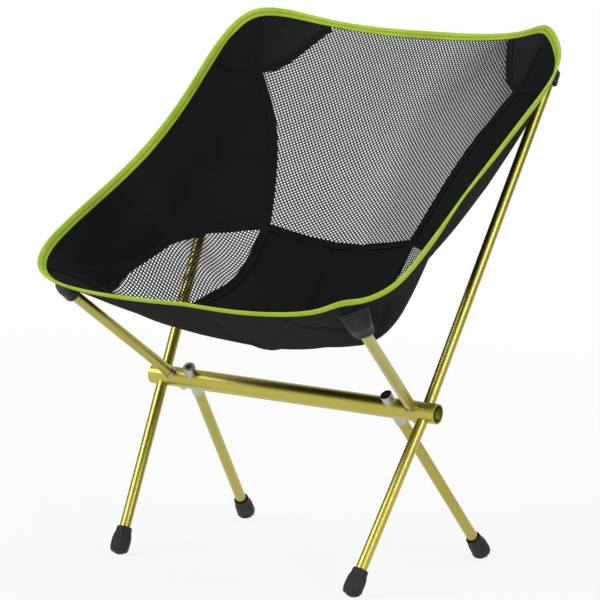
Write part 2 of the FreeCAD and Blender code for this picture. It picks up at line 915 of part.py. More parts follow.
right_seams = seams(1)
left_seams = seams(-1)
back_corner = outside(patch_seam[1], patch_seam[0])
back_corner_left = outside(patch_seam[1], patch_seam[0], -1)
front_corner = outside(front_knot, front_seam)
front_corner_left = outside(front_knot, front_seam, -1)
panel(
    "back_mesh",
    right_seams["mesh_side"],
    [flat(side_knot), mesh_bottom, flat(side_knot, -1)],
    left_seams["mesh_side"],
    left_seams["patch"],
    [flat(patch_seam[0], -1), back_corner_left],
    [back_corner_left, back_corner],
    [back_corner, flat(patch_seam[0])],
    right_seams["patch"],
)
panel(
    "seat_panel",
    [flat(side_knot), mesh_bottom, flat(side_knot, -1)],
    left_seams["side_inner"],
    [flat(front_knot, -1), front_corner_left],
    [front_corner_left, front_corner],
    [front_corner, flat(front_knot)],
    right_seams["side_inner"],
)
for side_name, side in SIDES.items():
    own = seams(side)
    knot = flat(back_knot, side)
    patch_out = outside(patch_seam[1], patch_seam[0], side)
    corner_out = outside(back_knot, corner_seam, side)
    wing_out = outside(back_knot, wing_seam, side)
    front_out = outside(front_knot, front_seam, side)
    side_out = Vector(side * half_across * 2, 0, 0)
    panel(
        "corner_patch_" + side_name,
        own["patch"],
        [flat(patch_seam[0], side), patch_out],
        [patch_out, corner_out],
        [corner_out, knot],
    )
    panel("corner_wing_" + side_name, [knot, corner_out], [corner_out, wing_out], [wing_out, knot])
    panel(
        "wing_" + side_name,
        [knot, wing_out],
        [wing_out, side_out],
        [side_out, front_out],
        [front_out, flat(front_knot, side)],
        own["side_outer"],
        own["mesh_side"],
    )
    panel("side_mesh_" + side_name, own["side_outer"], own["side_inner"])

# --- Pockets on the pole tips --------------------------------------------------------------------

TRIM_DROP = 0.5
above_sling = lower.toShape().extrude(Vector(0, 0, SKY))
above_sling.translate(Vector(0, 0, -TRIM_DROP))


def pocket(label, line, cover):
    """A sewn sleeve over a pole tip, with a web that joins it to the underside of the fabric."""
    tip = line.end
    fabric_normal = normal_at(Vector(tip.x, tip.y, sling_height(tip.x, tip.y)))
    side_axis = line.direction.cross(fabric_normal).normalize()
    up_axis = side_axis.cross(line.direction)
    turn = Rotation(up_axis, side_axis, line.direction, "ZXY")
    inner = pole_outer.number / 2 + pocket_clearance.number
    outer = inner + pocket_wall.number
    length = cover.number + pocket_clearance.number + pocket_wall.number
    mouth = Placement(tip - line.direction * cover.number, turn)
    sleeve = Part.makeCylinder(outer, length)
    web = Part.makeBox(pocket_reach.number, 2 * outer, length, Vector(0, -outer, 0))
    cavity = Part.makeCylinder(inner, cover.number + pocket_clearance.number)
    whole = sleeve.fuse(web).cut(cavity)
    whole.Placement = mouth
    piece = doc.addObject("Part::Feature", label)
    piece.Shape = whole.cut(above_sling)
    keep(label, piece)


for side_name in SIDES:
    pocket("front_pocket_" + side_name, seat_poles[side_name], front_pocket_cover)
    pocket("rear_pocket_" + side_name, rear_poles[side_name], rear_pocket_cover)

# --- Checks and export ---------------------------------------------------------------------------

doc.recompute()
for item in doc.Objects:
    if "Invalid" in item.State or "Error" in item.State:
        raise RuntimeError(f"{item.Name} did not compute: {item.State}")
for label, node in nodes.items():
    if node.Shape.isNull() or not node.Shape.isValid():
        raise RuntimeError(f"{label} has no valid shape")
    if len(node.Shape.Solids) != 1:
        raise RuntimeError(f"{label} is {len(node.Shape.Solids)} solids")
for label, node in nodes.items():
    node.Shape.exportStep(f"parts/{label}.step")
box = FreeCAD.BoundBox()
for node in nodes.values():
    box.add(node.Shape.BoundBox)
print(len(nodes), "sub-parts,", box)
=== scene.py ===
# %% [markdown]
# # An ultralight backpacking chair
# A low camping chair: anodised aluminium poles plug into one round hub tube, and a stitched sling
# of black fabric and open mesh, edged with bright green tape, hangs on the four pole tips.
# The CAD model is the fixed frame. Its rigid nodes stay and get real materials, and the sling is
# made again here as cloth, panel by panel.

# %% Load the frame
import json
import math

import bmesh
import bpy
import numpy as np
from mathutils import Matrix, Vector


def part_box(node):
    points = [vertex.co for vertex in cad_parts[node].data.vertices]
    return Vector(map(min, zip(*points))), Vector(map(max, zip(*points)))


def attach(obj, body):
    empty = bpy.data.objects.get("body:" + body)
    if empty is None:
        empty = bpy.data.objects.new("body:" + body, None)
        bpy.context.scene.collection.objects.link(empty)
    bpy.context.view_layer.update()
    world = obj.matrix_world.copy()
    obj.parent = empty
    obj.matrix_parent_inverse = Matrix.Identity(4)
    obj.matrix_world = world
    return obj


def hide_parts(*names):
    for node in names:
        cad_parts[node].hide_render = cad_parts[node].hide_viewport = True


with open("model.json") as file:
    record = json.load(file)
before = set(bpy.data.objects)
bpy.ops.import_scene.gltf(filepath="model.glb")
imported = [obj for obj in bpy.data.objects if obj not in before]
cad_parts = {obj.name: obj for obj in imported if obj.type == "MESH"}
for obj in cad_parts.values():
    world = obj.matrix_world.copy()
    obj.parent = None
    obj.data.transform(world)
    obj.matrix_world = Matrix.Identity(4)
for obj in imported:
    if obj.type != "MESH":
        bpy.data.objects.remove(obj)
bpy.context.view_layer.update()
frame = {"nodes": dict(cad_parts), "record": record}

# %% [markdown]
# ## The camera
# The chair is seen from the front, turned about a third of a right angle to its left side, with a
# long lens a few metres away, so that the poles stay nearly parallel.

# %% Camera
VIEW_AZIMUTH = math.radians(32.4)
VIEW_ELEVATION = math.radians(7.17)
VIEW_ROLL = math.radians(2.24)
VIEW_TARGET = Vector((0.0, 0.018, 0.3465))
VIEW_DISTANCE = 3.698
LENS_MM = 183.8
LENS_SHIFT = (-0.0173, -0.0435)
SENSOR_MM = 36.0

away = Vector(
    (
        math.sin(VIEW_AZIMUTH) * math.cos(VIEW_ELEVATION),
        -math.cos(VIEW_AZIMUTH) * math.cos(VIEW_ELEVATION),
        math.sin(VIEW_ELEVATION),
    )
)
level = Vector((math.cos(VIEW_AZIMUTH), math.sin(VIEW_AZIMUTH), 0.0))
upward = away.cross(level)
right = level * math.cos(VIEW_ROLL) + upward * math.sin(VIEW_ROLL)
up = upward * math.cos(VIEW_ROLL) - level * math.sin(VIEW_ROLL)

camera_data = bpy.data.cameras.new("camera")
camera_data.lens = LENS_MM
camera_data.sensor_width = SENSOR_MM
camera_data.shift_x, camera_data.shift_y = LENS_SHIFT
camera = bpy.data.objects.new("camera", camera_data)
turn = Matrix((right, up, away)).transposed().to_4x4()
camera.matrix_world = Matrix.Translation(VIEW_TARGET + away * VIEW_DISTANCE) @ turn
bpy.context.scene.collection.objects.link(camera)
bpy.context.scene.camera = camera
print("camera at", [round(v, 3) for v in camera.matrix_world.translation])

# %% [markdown]
# ## Colours and nodes
# A finish is a small tree of shader nodes. Colours are written as hex codes, as on a screen, and
# turned into the linear values that light adds up in. One function adds a node of any kind.

# %% Helpers for colours and nodes
def colour(hex_code):
    """A linear colour from an sRGB hex code."""
    values = [int(hex_code[i : i + 2], 16) / 255 for i in (1, 3, 5)]
    return [v / 12.92 if v <= 0.04045 else ((v + 0.055) / 1.055) ** 2.4 for v in values] + [1.0]


def add_node(tree, kind, inputs=(), **settings):
    """Adds a shader node; kind is its type without the word ShaderNode. The settings are its own
    properties. An input gets a value, or a link from a socket or from a node's first output."""
    node = tree.nodes.new("ShaderNode" + kind)
    for name, value in settings.items():
        setattr(node, name, value)
    for socket, value in dict(inputs).items():
        if isinstance(value, bpy.types.Node):
            value = value.outputs[0]
        if isinstance(value, bpy.types.NodeSocket):
            tree.links.new(value, node.inputs[socket])
        else:
            node.inputs[socket].default_value = value
    return node


def new_material(name):
    """A material and its empty tree."""
    material = bpy.data.materials.new(name)
    material.use_nodes = True
    material.node_tree.nodes.clear()
    return material, material.node_tree


def finish_material(tree, shader):
    """Links a shader to the material's output."""
    add_node(tree, "OutputMaterial", {"Surface": shader})


def seen_rays(tree):
    """1 for rays that the eye sees, straight on, mirrored or through glass."""
    rays = add_node(tree, "LightPath").outputs
    seen = {0: rays["Is Camera Ray"], 1: rays["Is Glossy Ray"]}
    seen = {0: add_node(tree, "Math", seen, operation="MAXIMUM"), 1: rays["Is Transmission Ray"]}
    return add_node(tree, "Math", seen, operation="MAXIMUM")


# %% [markdown]
# ## Studio light
# A large soft key from the upper left, a weaker fill from the right, a broad lamp above and a pale
# world give the even, nearly shadowless light of a product picture. Two black cards beside the set
# are mirrored in the tubes as dark lines. The floor and the background show as white.

# %% Lamps
CHAIR_MIDDLE = Vector((0.0, 0.0, 0.33))
WHITE = colour("#FFFFFF")


def facing(place):
    """The turn with which something at a place looks at the middle of the chair."""
    return (CHAIR_MIDDLE - Vector(place)).to_track_quat("-Z", "Y").to_euler()


def area_lamp(name, place, size, watts):
    """A square area lamp that looks at the middle of the chair."""
    lamp = bpy.data.lights.new(name, "AREA")
    lamp.shape = "SQUARE"
    lamp.size = size
    lamp.energy = watts
    holder = bpy.data.objects.new(name, lamp)
    holder.location = place
    holder.rotation_euler = facing(place)
    bpy.context.scene.collection.objects.link(holder)
    print(name, watts, "W")


area_lamp("key_lamp", (-1.6, -2.2, 2.3), size=1.3, watts=40)
area_lamp("fill_lamp", (2.5, -1.1, 1.55), size=0.75, watts=20)
area_lamp("top_lamp", (0.3, 0.9, 2.8), size=1.8, watts=22)

# %% World
# The eye sees white, and the cloth gets less light than that. Metal sees a sky that darkens
# overhead, which rounds the tubes.
world = bpy.data.worlds.new("studio")
bpy.context.scene.world = world
world.use_nodes = True
tree = world.node_tree
tree.nodes.clear()
direction = add_node(tree, "TexCoord").outputs["Generated"]
height = add_node(tree, "SeparateXYZ", {0: direction}).outputs["Z"]
darkening = {"Value": height, "From Min": 0.12, "From Max": 0.5, "To Max": 0.75}
overhead = add_node(tree, "MapRange", darkening)
glossy = add_node(tree, "LightPath").outputs["Is Glossy Ray"]
shade = add_node(tree, "Math", {0: overhead, 1: glossy}, operation="MULTIPLY")
share = add_node(tree, "Math", {0: seen_rays(tree), 1: shade}, operation="SUBTRACT")
soft = add_node(tree, "Background", {"Color": WHITE, "Strength": 0.42})
white = add_node(tree, "Background", {"Color": WHITE, "Strength": 1.0})
mix = add_node(tree, "MixShader", {0: share, 1: soft, 2: white})
add_node(tree, "OutputWorld", {"Surface": mix})
bpy.context.scene.view_settings.view_transform = "Standard"


# %% Flags and floor
def black_flag(name, place, size):
    """A black card beside the set. Only mirrored rays see it: it draws dark lines on the tubes."""
    bpy.ops.mesh.primitive_plane_add(size=size, location=place)
    flag = bpy.context.object
    flag.name = name
    flag.rotation_euler = facing(place)
    for rays in ("camera", "diffuse", "shadow", "transmission"):
        setattr(flag, "visible_" + rays, False)
    material, tree = new_material(name)
    card = add_node(tree, "BsdfDiffuse", {"Color": colour("#202020")})
    finish_material(tree, card)
    flag.data.materials.append(material)


black_flag("flag_left", (-2.9, 0.9, 1.0), size=2.6)
black_flag("flag_right", (2.6, 1.7, 0.8), size=1.9)

# The floor keeps a faint shadow near the chair and glows white further out.
bpy.ops.mesh.primitive_plane_add(size=400, location=(0, 0, -0.0005))
floor = bpy.context.object
floor.name = "floor"
floor_paint, tree = new_material("floor_paint")
place = add_node(tree, "TexCoord").outputs["Object"]
distance = add_node(tree, "VectorMath", {0: place}, operation="LENGTH").outputs["Value"]
rise = {"Value": distance, "From Min": 0.7, "From Max": 2.5, "To Min": 0.85, "To Max": 0.98}
glowing = {0: seen_rays(tree), 1: add_node(tree, "MapRange", rise)}
shown = add_node(tree, "Math", glowing, operation="MULTIPLY")
paint = add_node(tree, "BsdfDiffuse", {"Color": colour("#F4F4F4")})
glow = add_node(tree, "Emission", {"Color": WHITE, "Strength": 1.0})
finish_material(tree, add_node(tree, "MixShader", {0: shown, 1: paint, 2: glow}))
floor.data.materials.append(floor_paint)

# %% [markdown]
# ## The shape of the sling
# The sling hangs from four corners, so its rim is a smooth curve in space and the fabric inside it
# is a bowl. Ten stations give the right half of the rim. From the bottom of the bowl to the rim the
# height mixes a straight line, a smooth step and a power of the distance. The mix differs round the
# bowl, and soft creases are added to it. Everything about the sling is worked out in millimetres.

# %% Rim and height of the fabric
MM = 0.001
RIM_STATIONS = np.array(
    [(0, 270.9, 634.8), (134.7, 259.9, 641.4), (216.5, 198.8, 651.1), (240.1, 178.9, 627.7)]
    + [(243.3, 111.5, 566.4), (236.8, -22.2, 472.8), (244.3, -153.2, 398.6)]
    + [(238.5, -202.3, 372.3), (163.9, -269.0, 344.6), (0, -254.5, 337.0)]
)
RIM_SPACING = 0.8
BOWL_MIDDLE = (0.0, -30.0, 258.0)
RISE_STRAIGHT = np.array([0.7, 0.8, 0.7, 0.12, 0.39, 0.6, 0.12, 0.54, 0.85])
RISE_WALL = np.array([0.2, 0.1, 0.04, 0.04, 0.14, 0.06, 0.63, 0.44, 0.13])
RISE_POWER = np.array([1.4, 1.2, 2.8, 5.4, 2.2, 4.4, 7.4, 7.0, 6.8])
BOWL_SOFTNESS = 0.25
EVENING_SHARE = 0.35
EVENING_REACH = 60.0
EVENING_RINGS = 3
EVENING_SPOKES = 12


def unit(vectors):
    """The same directions, one long."""
    return vectors / np.linalg.norm(vectors, axis=-1, keepdims=True)


def mirrored(line):
    """The left-hand twin of a line, in plan or in space."""
    return line * np.array([-1, 1, 1])[: line.shape[-1]]


def smooth_step(value):
    """A share that leaves 0 and reaches 1 gently."""
    share = np.clip(value, 0, 1)
    return share * share * (3 - 2 * share)


def spline(points, knots, places, start_pull=None, end_pull=None):
    """A cubic spline through points at knots, read at places; the pulls are end derivatives."""
    points, knots, places = map(np.asarray, (points, knots, places))
    count = len(points)
    steps = np.diff(knots)[:, None]
    slopes = np.diff(points, axis=0) / steps
    matrix = np.zeros((count, count))
    target = np.zeros_like(points)
    for i in range(1, count - 1):
        matrix[i, i - 1 : i + 2] = steps[i, 0], 2 * (steps[i - 1, 0] + steps[i, 0]), steps[i - 1, 0]
        target[i] = 3 * (steps[i] * slopes[i - 1] + steps[i - 1] * slopes[i])
    if start_pull is None:
        matrix[0, :2], target[0] = (2, 1), 3 * slopes[0]
        matrix[-1, -2:], target[-1] = (1, 2), 3 * slopes[-1]
    else:
        matrix[0, 0], target[0] = 1, start_pull
        matrix[-1, -1], target[-1] = 1, end_pull
    pulls = np.linalg.solve(matrix, target)
    index = np.clip(np.searchsorted(knots, places, side="right") - 1, 0, count - 2)
    step = steps[index]
    share = (places - knots[index])[:, None] / step
    square, cube = share**2, share**3
    return (
        points[index] * (2 * cube - 3 * square + 1)
        + pulls[index] * step * (cube - 2 * square + share)
        + points[index + 1] * (3 * square - 2 * cube)
        + pulls[index + 1] * step * (cube - square)
    )


def rim_curve(samples):
    """Points on the right half of the rim, from the middle of the back to the front."""
    steps = np.linalg.norm(np.diff(RIM_STATIONS, axis=0), axis=1) ** RIM_SPACING
    knots = np.concatenate([[0.0], np.cumsum(steps)])
    return spline(RIM_STATIONS, knots, np.linspace(0, knots[-1], samples), (1, 0, 0), (-1, 0, 0))


rim_fine = rim_curve(721)
rim_bearing = np.arctan2(rim_fine[:, 0], BOWL_MIDDLE[1] - rim_fine[:, 1])
rim_reach = np.hypot(rim_fine[:, 0], rim_fine[:, 1] - BOWL_MIDDLE[1])
order = np.argsort(rim_bearing)
rim_bearing, rim_reach, rim_height = rim_bearing[order], rim_reach[order], rim_fine[order, 2]


def between_stations(values, bearing):
    """A value that changes smoothly between evenly spaced stations, from the front to the back."""
    place = bearing / math.pi * (len(values) - 1)
    index = np.minimum(place.astype(int), len(values) - 2)
    share = smooth_step(place - index)
    return values[index] * (1 - share) + values[index + 1] * share


def plain_height(x, y):
    """The height over places in plan by the rises alone; past the rim it carries on straight."""
    bearing = np.arctan2(np.abs(x), BOWL_MIDDLE[1] - y)
    reach = np.interp(bearing, rim_bearing, rim_reach)
    top = np.interp(bearing, rim_bearing, rim_height)
    straight = between_stations(RISE_STRAIGHT, bearing)
    wall = between_stations(RISE_WALL, bearing)
    power = between_stations(RISE_POWER, bearing)
    rest = 1 - straight - wall
    share = np.hypot(x, y - BOWL_MIDDLE[1]) / reach
    inside = np.minimum(share, 1)
    soft = BOWL_SOFTNESS
    line = (np.sqrt(share**2 + soft**2) - soft) / (math.sqrt(1 + soft**2) - soft)
    rise = straight * line + wall * smooth_step(inside) + rest * inside**power
    rise += rest * power * np.maximum(0, share - 1)
    return BOWL_MIDDLE[2] + (top - BOWL_MIDDLE[2]) * rise


# Each crease has a half width, a height, which is negative for a valley, and the places in plan
# that it runs through.
FOLDS = [
    (18.0, -6.0, [(-176, 146), (-188, 112), (-196, 84)]),
    (9.0, -2.6, [(-134, 106), (-138, 88)]),
    (13.0, -4.0, [(-206, 52), (-192, 4)]),
    (4.5, -3.4, [(-222, -140), (-218, -112), (-196, -72), (-180, -46)]),
    (4.5, -2.6, [(-214, -150), (-202, -118), (-190, -92)]),
    (9.0, -4.4, [(-228, -140), (-226, -98), (-220, -56), (-214, -18)]),
    (16.0, 3.4, [(-212, 110), (-214, 60), (-212, 14)]),
    (10.0, 2.2, [(-156, 132), (-164, 96)]),
    (5.0, -2.0, [(-48, 84), (-54, 44), (-58, -10)]),
    (4.0, -2.8, [(-12, 90), (-8, 60), (-2, 20), (2, -40), (4, -110)]),
    (4.5, -1.8, [(26, 90), (34, 50)]),
    (5.0, 2.2, [(8, -196), (-10, -130), (-20, -96)]),
    (5.0, 3.0, [(134, -246), (144, -204), (166, -160)]),
    (5.0, 2.0, [(92, -232), (68, -160)]),
    (6.0, 2.8, [(222, -172), (202, -150), (180, -120)]),
    (12.0, -1.6, [(208, -60), (204, -10), (208, 40)]),
    (10.0, -2.4, [(178, 130), (190, 96)]),
    (6.0, 2.0, [(-150, -228), (-132, -180)]),
]
FOLD_FADE = 30.0
LIFTED_CORNER = (208.0, -244.0)
LIFT = 5.0
LIFT_HALF_WIDTH = 21.0
LIFT_FADE = 25.0


def from_run(x, y, points):
    """The distance in plan from places to a broken line."""
    nearest = np.full(np.shape(x), np.inf)
    for (x1, y1), (x2, y2) in zip(points[:-1], points[1:]):
        along_x, along_y = x2 - x1, y2 - y1
        share = ((x - x1) * along_x + (y - y1) * along_y) / (along_x**2 + along_y**2)
        share = np.clip(share, 0, 1)
        nearest = np.minimum(nearest, np.hypot(x - x1 - share * along_x, y - y1 - share * along_y))
    return nearest


def edge_lift(x, y):
    """The bound edge is pulled up a little where the front pocket on the right hangs from it."""
    away = np.hypot(x - LIFTED_CORNER[0], y - LIFTED_CORNER[1])
    return LIFT * np.exp(-((away / LIFT_HALF_WIDTH) ** 2))


def fold_relief(x, y, room):
    """Soft creases in the cloth, which fade out towards the bound edge."""
    relief = sum(depth * np.exp(-((from_run(x, y, run) / half) ** 2)) for half, depth, run in FOLDS)
    return relief * np.clip(room / FOLD_FADE, 0, 1)


def sling_height(x, y):
    """The height of the fabric: the mean over a disc that shrinks to nothing towards the rim."""
    bearing = np.arctan2(np.abs(x), BOWL_MIDDLE[1] - y)
    room = np.interp(bearing, rim_bearing, rim_reach) - np.hypot(x, y - BOWL_MIDDLE[1])
    radius = np.clip(EVENING_SHARE * room, 0, EVENING_REACH)
    total = plain_height(x, y)
    for ring in range(1, EVENING_RINGS + 1):
        for spoke in range(EVENING_SPOKES):
            turn = math.tau * (spoke + 0.5) / EVENING_SPOKES
            reach = radius * ring / EVENING_RINGS
            total = total + plain_height(x + reach * math.sin(turn), y + reach * math.cos(turn))
    relief = fold_relief(x, y, room) + edge_lift(x, y) * np.exp(-room / LIFT_FADE)
    return total / (1 + EVENING_RINGS * EVENING_SPOKES) + relief


def on_sling(plan):
    """Points of the fabric over an array of places in plan."""
    plan = np.asarray(plan, float)
    return np.concatenate([plan[..., :2], sling_height(plan[..., 0], plan[..., 1])[..., None]], -1)


def sling_normal(plan, step=1.0):
    """The upward normal of the fabric over places in plan."""
    plan = np.asarray(plan, float)
    x, y = plan[..., 0], plan[..., 1]
    slope_x = (sling_height(x + step, y) - sling_height(x - step, y)) / (2 * step)
    slope_y = (sling_height(x, y + step) - sling_height(x, y - step)) / (2 * step)
    return unit(np.stack([-slope_x, -slope_y, np.ones_like(slope_x)], -1))


# %% [markdown]
# ## Where the seams run
# The panels meet along curves that are given in plan. Each panel is a grid whose four sides follow
# those curves, so that its rows and columns run with the cloth, and it is lifted onto the bowl.

# %% Seam curves in plan
SEAM_SAMPLES = 61
SEWN_INSET = 4.0
FABRIC_THICKNESS = 1.0


def run_along(line):
    """The distance along a line at each of its points."""
    return np.concatenate([[0.0], np.cumsum(np.linalg.norm(np.diff(line, axis=0), axis=1))])


def smooth_plan(points, samples=SEAM_SAMPLES):
    """Evenly spaced places on a smooth curve in plan through a few points."""
    points = np.array(points, float)
    knots = run_along(points)
    if len(points) == 2:
        places = np.linspace(0, 1, samples)[:, None]
        return points[0] * (1 - places) + points[1] * places
    return evenly(spline(points, knots, np.linspace(0, knots[-1], samples * 4)), samples)


def evenly(line, samples):
    """The same line with its points spaced evenly along it."""
    run = run_along(line)
    places = np.linspace(0, run[-1], samples)
    return np.stack([np.interp(places, run, line[:, k]) for k in range(line.shape[1])], -1)


def joined(*lines):
    """Several lines end to end, with each shared point kept once."""
    return np.concatenate([lines[0]] + [line[1:] for line in lines[1:]])


BACK_KNOT = (189, 173)
SIDE_KNOT = (105, 77)
FRONT_KNOT = (194, -140)
mesh_side = smooth_plan([BACK_KNOT, (170, 164), (148, 148), (125, 118), SIDE_KNOT])
mesh_bottom = smooth_plan([(-105, 77), (0, 91.5), SIDE_KNOT])
side_outer = smooth_plan([SIDE_KNOT, (157, 36), (166, -26), (197, -91), FRONT_KNOT])
side_inner = smooth_plan([SIDE_KNOT, (103, 44), (130, -74), FRONT_KNOT])


def edge_frame(line, run):
    """Unit directions at a line on the rim: up from the fabric, and along it to the middle."""
    above = sling_normal(line)
    across = unit(np.cross(above, run))
    out = across[:, 0] * line[:, 0] + across[:, 1] * (line[:, 1] - BOWL_MIDDLE[1])
    return above, across * -np.sign(out)[:, None]


rim_line = rim_curve(241)
rim_inward = edge_frame(rim_line, unit(np.gradient(rim_line, axis=0)))[1]
sewn_line = (rim_line + rim_inward * SEWN_INSET)[:, :2]


def rim_between(start, end):
    """The sewn edge of the fabric between the places nearest to two points in plan."""
    first = int(np.argmin(np.linalg.norm(sewn_line - np.array(start), axis=1)))
    last = int(np.argmin(np.linalg.norm(sewn_line - np.array(end), axis=1)))
    step = 1 if last > first else -1
    return sewn_line[first : last + step if last + step >= 0 else None : step]


PATCH_TOP = (130, 263)
CORNER_TOP = (209, 205)
WING_TOP = (246, 154)
FRONT_END = (215, -235)
rim_back = rim_between((0, 271), PATCH_TOP)
rim_patch = rim_between(PATCH_TOP, CORNER_TOP)
rim_corner = rim_between(CORNER_TOP, WING_TOP)
rim_wing = rim_between(WING_TOP, FRONT_END)
rim_front = rim_between(FRONT_END, (0, -254))
patch_seam = smooth_plan([rim_patch[0], (149, 219), (170, 188), BACK_KNOT])
corner_seam = smooth_plan([BACK_KNOT, rim_corner[0]])
wing_seam = smooth_plan([BACK_KNOT, rim_wing[0]])
front_seam = smooth_plan([FRONT_KNOT, rim_front[0]])
print("the rim in five runs,", len(rim_line), "points on each half")

# %% [markdown]
# ## A panel of cloth
# Blender's grid primitive has the rows, columns and UVs that a cloth panel needs. Its points are
# moved onto the bowl between four seam curves, its UVs are scaled to metres so that a weave keeps
# its size, and Solidify gives it the thickness of the fabric. Tapes and pockets are made this way.

# %% Panel helpers
def deselect():
    """Leaves nothing selected, so that an operator acts on the new piece alone."""
    if bpy.context.object and bpy.context.object.mode != "OBJECT":
        bpy.ops.object.mode_set(mode="OBJECT")
    bpy.ops.object.select_all(action="DESELECT")


def grid_piece(name, across, along, sizes=(1.0, 1.0)):
    """A grid primitive whose UVs span those sizes, and the row and column of each of its points."""
    deselect()
    bpy.ops.mesh.primitive_grid_add(x_subdivisions=across, y_subdivisions=along, size=1)
    piece = bpy.context.object
    piece.name = name
    layer = piece.data.uv_layers.active.data
    uvs = np.zeros(len(layer) * 2)
    layer.foreach_get("uv", uvs)
    layer.foreach_set("uv", (uvs.reshape(-1, 2) * sizes).ravel())
    flat = np.zeros(len(piece.data.vertices) * 3)
    piece.data.vertices.foreach_get("co", flat)
    flat = flat.reshape(-1, 3)
    column = np.rint((flat[:, 0] + 0.5) * across).astype(int)
    row = np.rint((flat[:, 1] + 0.5) * along).astype(int)
    return piece, row, column


def move_points(piece, points):
    """Puts a piece's points at places in millimetres."""
    piece.data.vertices.foreach_set("co", (points * MM).ravel())
    piece.data.update()


def weld(piece, face_up=False):
    """Merges points that coincide and turns the faces outwards, or those of a panel up."""
    bm = bmesh.new()
    bm.from_mesh(piece.data)
    bmesh.ops.remove_doubles(bm, verts=bm.verts, dist=1e-6)
    bmesh.ops.recalc_face_normals(bm, faces=bm.faces)
    if face_up and sum(face.normal.z * face.calc_area() for face in bm.faces) < 0:
        bmesh.ops.reverse_faces(bm, faces=bm.faces)
    bm.to_mesh(piece.data)
    bm.free()


def apply_modifier(piece, kind, **settings):
    """Adds a modifier to a piece and applies it."""
    modifier = piece.modifiers.new(kind.lower(), kind)
    for name, value in settings.items():
        setattr(modifier, name, value)
    bpy.ops.object.modifier_apply(modifier=modifier.name)


def hang(piece, material, node=None):
    """Gives a piece its finish and hangs it with the sling, in place of a CAD node if it has
    one."""
    piece.data.materials.append(material)
    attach(piece, "sling")
    if node:
        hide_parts(node)


# %% Panels between four seams
ROUGH_GRID = 24


def fill_between(low, high, start, end, across, along):
    """Places in plan that fill the area between four sides, as a grid of rows from low to high."""
    low, high = evenly(low, across + 1), evenly(high, across + 1)
    start, end = evenly(start, along + 1), evenly(end, along + 1)
    u = np.linspace(0, 1, across + 1)[None, :, None]
    v = np.linspace(0, 1, along + 1)[:, None, None]
    sides = start[:, None] * (1 - u) + end[:, None] * u
    ends = low[None] * (1 - v) + high[None] * v
    corners = (low[0] * (1 - u) + low[-1] * u) * (1 - v) + (high[0] * (1 - u) + high[-1] * u) * v
    return sides + ends - corners


def widest(rows):
    """The length of the longest row of a grid of points."""
    return np.linalg.norm(np.diff(rows, axis=1), axis=2).sum(axis=1).max()


def cut_size(low, high, start, end):
    """The width, length and area of a flat cut between four seam curves, in metres."""
    rough = on_sling(fill_between(low, high, start, end, ROUGH_GRID, ROUGH_GRID))
    sides = rough[1:, 1:] - rough[:-1, :-1], rough[:-1, 1:] - rough[1:, :-1]
    area = np.linalg.norm(np.cross(*sides), axis=-1).sum() / 2
    return (widest(rough) * MM, widest(rough.swapaxes(0, 1)) * MM), area * MM * MM


def panel(name, low, high, start, end, step=4.0):
    """A cloth panel between four seam curves; step is the size of its grid in millimetres."""
    sizes, area = cut_size(low, high, start, end)
    across, along = (round(size / MM / step) for size in sizes)
    plan = fill_between(low, high, start, end, across, along)
    piece, row, column = grid_piece(name, across, along, sizes)
    places = plan[row, column]
    move_points(piece, on_sling(places) - sling_normal(places) * FABRIC_THICKNESS * 0.5)
    weld(piece, face_up=True)
    apply_modifier(piece, "SOLIDIFY", thickness=FABRIC_THICKNESS * MM, offset=0)
    bpy.ops.object.shade_smooth()
    print(f"{name}: {across} x {along}, {sizes[0]:.3f} x {sizes[1]:.3f} m, {area:.4f} m2")
    return piece, sizes, area


# %% [markdown]
# ## Open mesh
# A knitted mesh hardly stretches along its threads, so it drapes as a fishing net does: each knot
# lies one pitch from its two neighbours. The net is laid from the middle of the panel outwards and
# cut to the seams. Wireframe then gives its threads their thickness. Real holes close up by
# themselves where the cloth is seen at a slant, as they do on the real chair.

# %% Lay a net over the bowl
NET_PITCH = 3.85
NET_THREAD = 1.7
SEAM_OVERLAP = 1.8
TABLE_STEP = 2.0
TABLE_HALF_WIDTH = 262
TABLE_HALF_DEPTH = 290
NEWTON_STEPS = 6
NEWTON_LEAP = 2

table_x = np.arange(-TABLE_HALF_WIDTH, TABLE_HALF_WIDTH + 1, TABLE_STEP)
table_y = np.arange(-TABLE_HALF_DEPTH, TABLE_HALF_DEPTH + 1, TABLE_STEP)
height_table = sling_height(*np.meshgrid(table_x, table_y))


def quick_height(x, y):
    """The fabric's height and its slopes along x and y, read from a table."""
    column = np.clip((x - table_x[0]) / TABLE_STEP, 0, len(table_x) - 1.001)
    row = np.clip((y - table_y[0]) / TABLE_STEP, 0, len(table_y) - 1.001)
    i, j = row.astype(int), column.astype(int)
    v, u = row - i, column - j
    near, right_of = height_table[i, j], height_table[i, j + 1]
    above, far = height_table[i + 1, j], height_table[i + 1, j + 1]
    height = (near * (1 - u) + right_of * u) * (1 - v) + (above * (1 - u) + far * u) * v
    slope_x = ((right_of - near) * (1 - v) + (far - above) * v) / TABLE_STEP
    slope_y = ((above - near) * (1 - u) + (far - right_of) * u) / TABLE_STEP
    return height, slope_x, slope_y


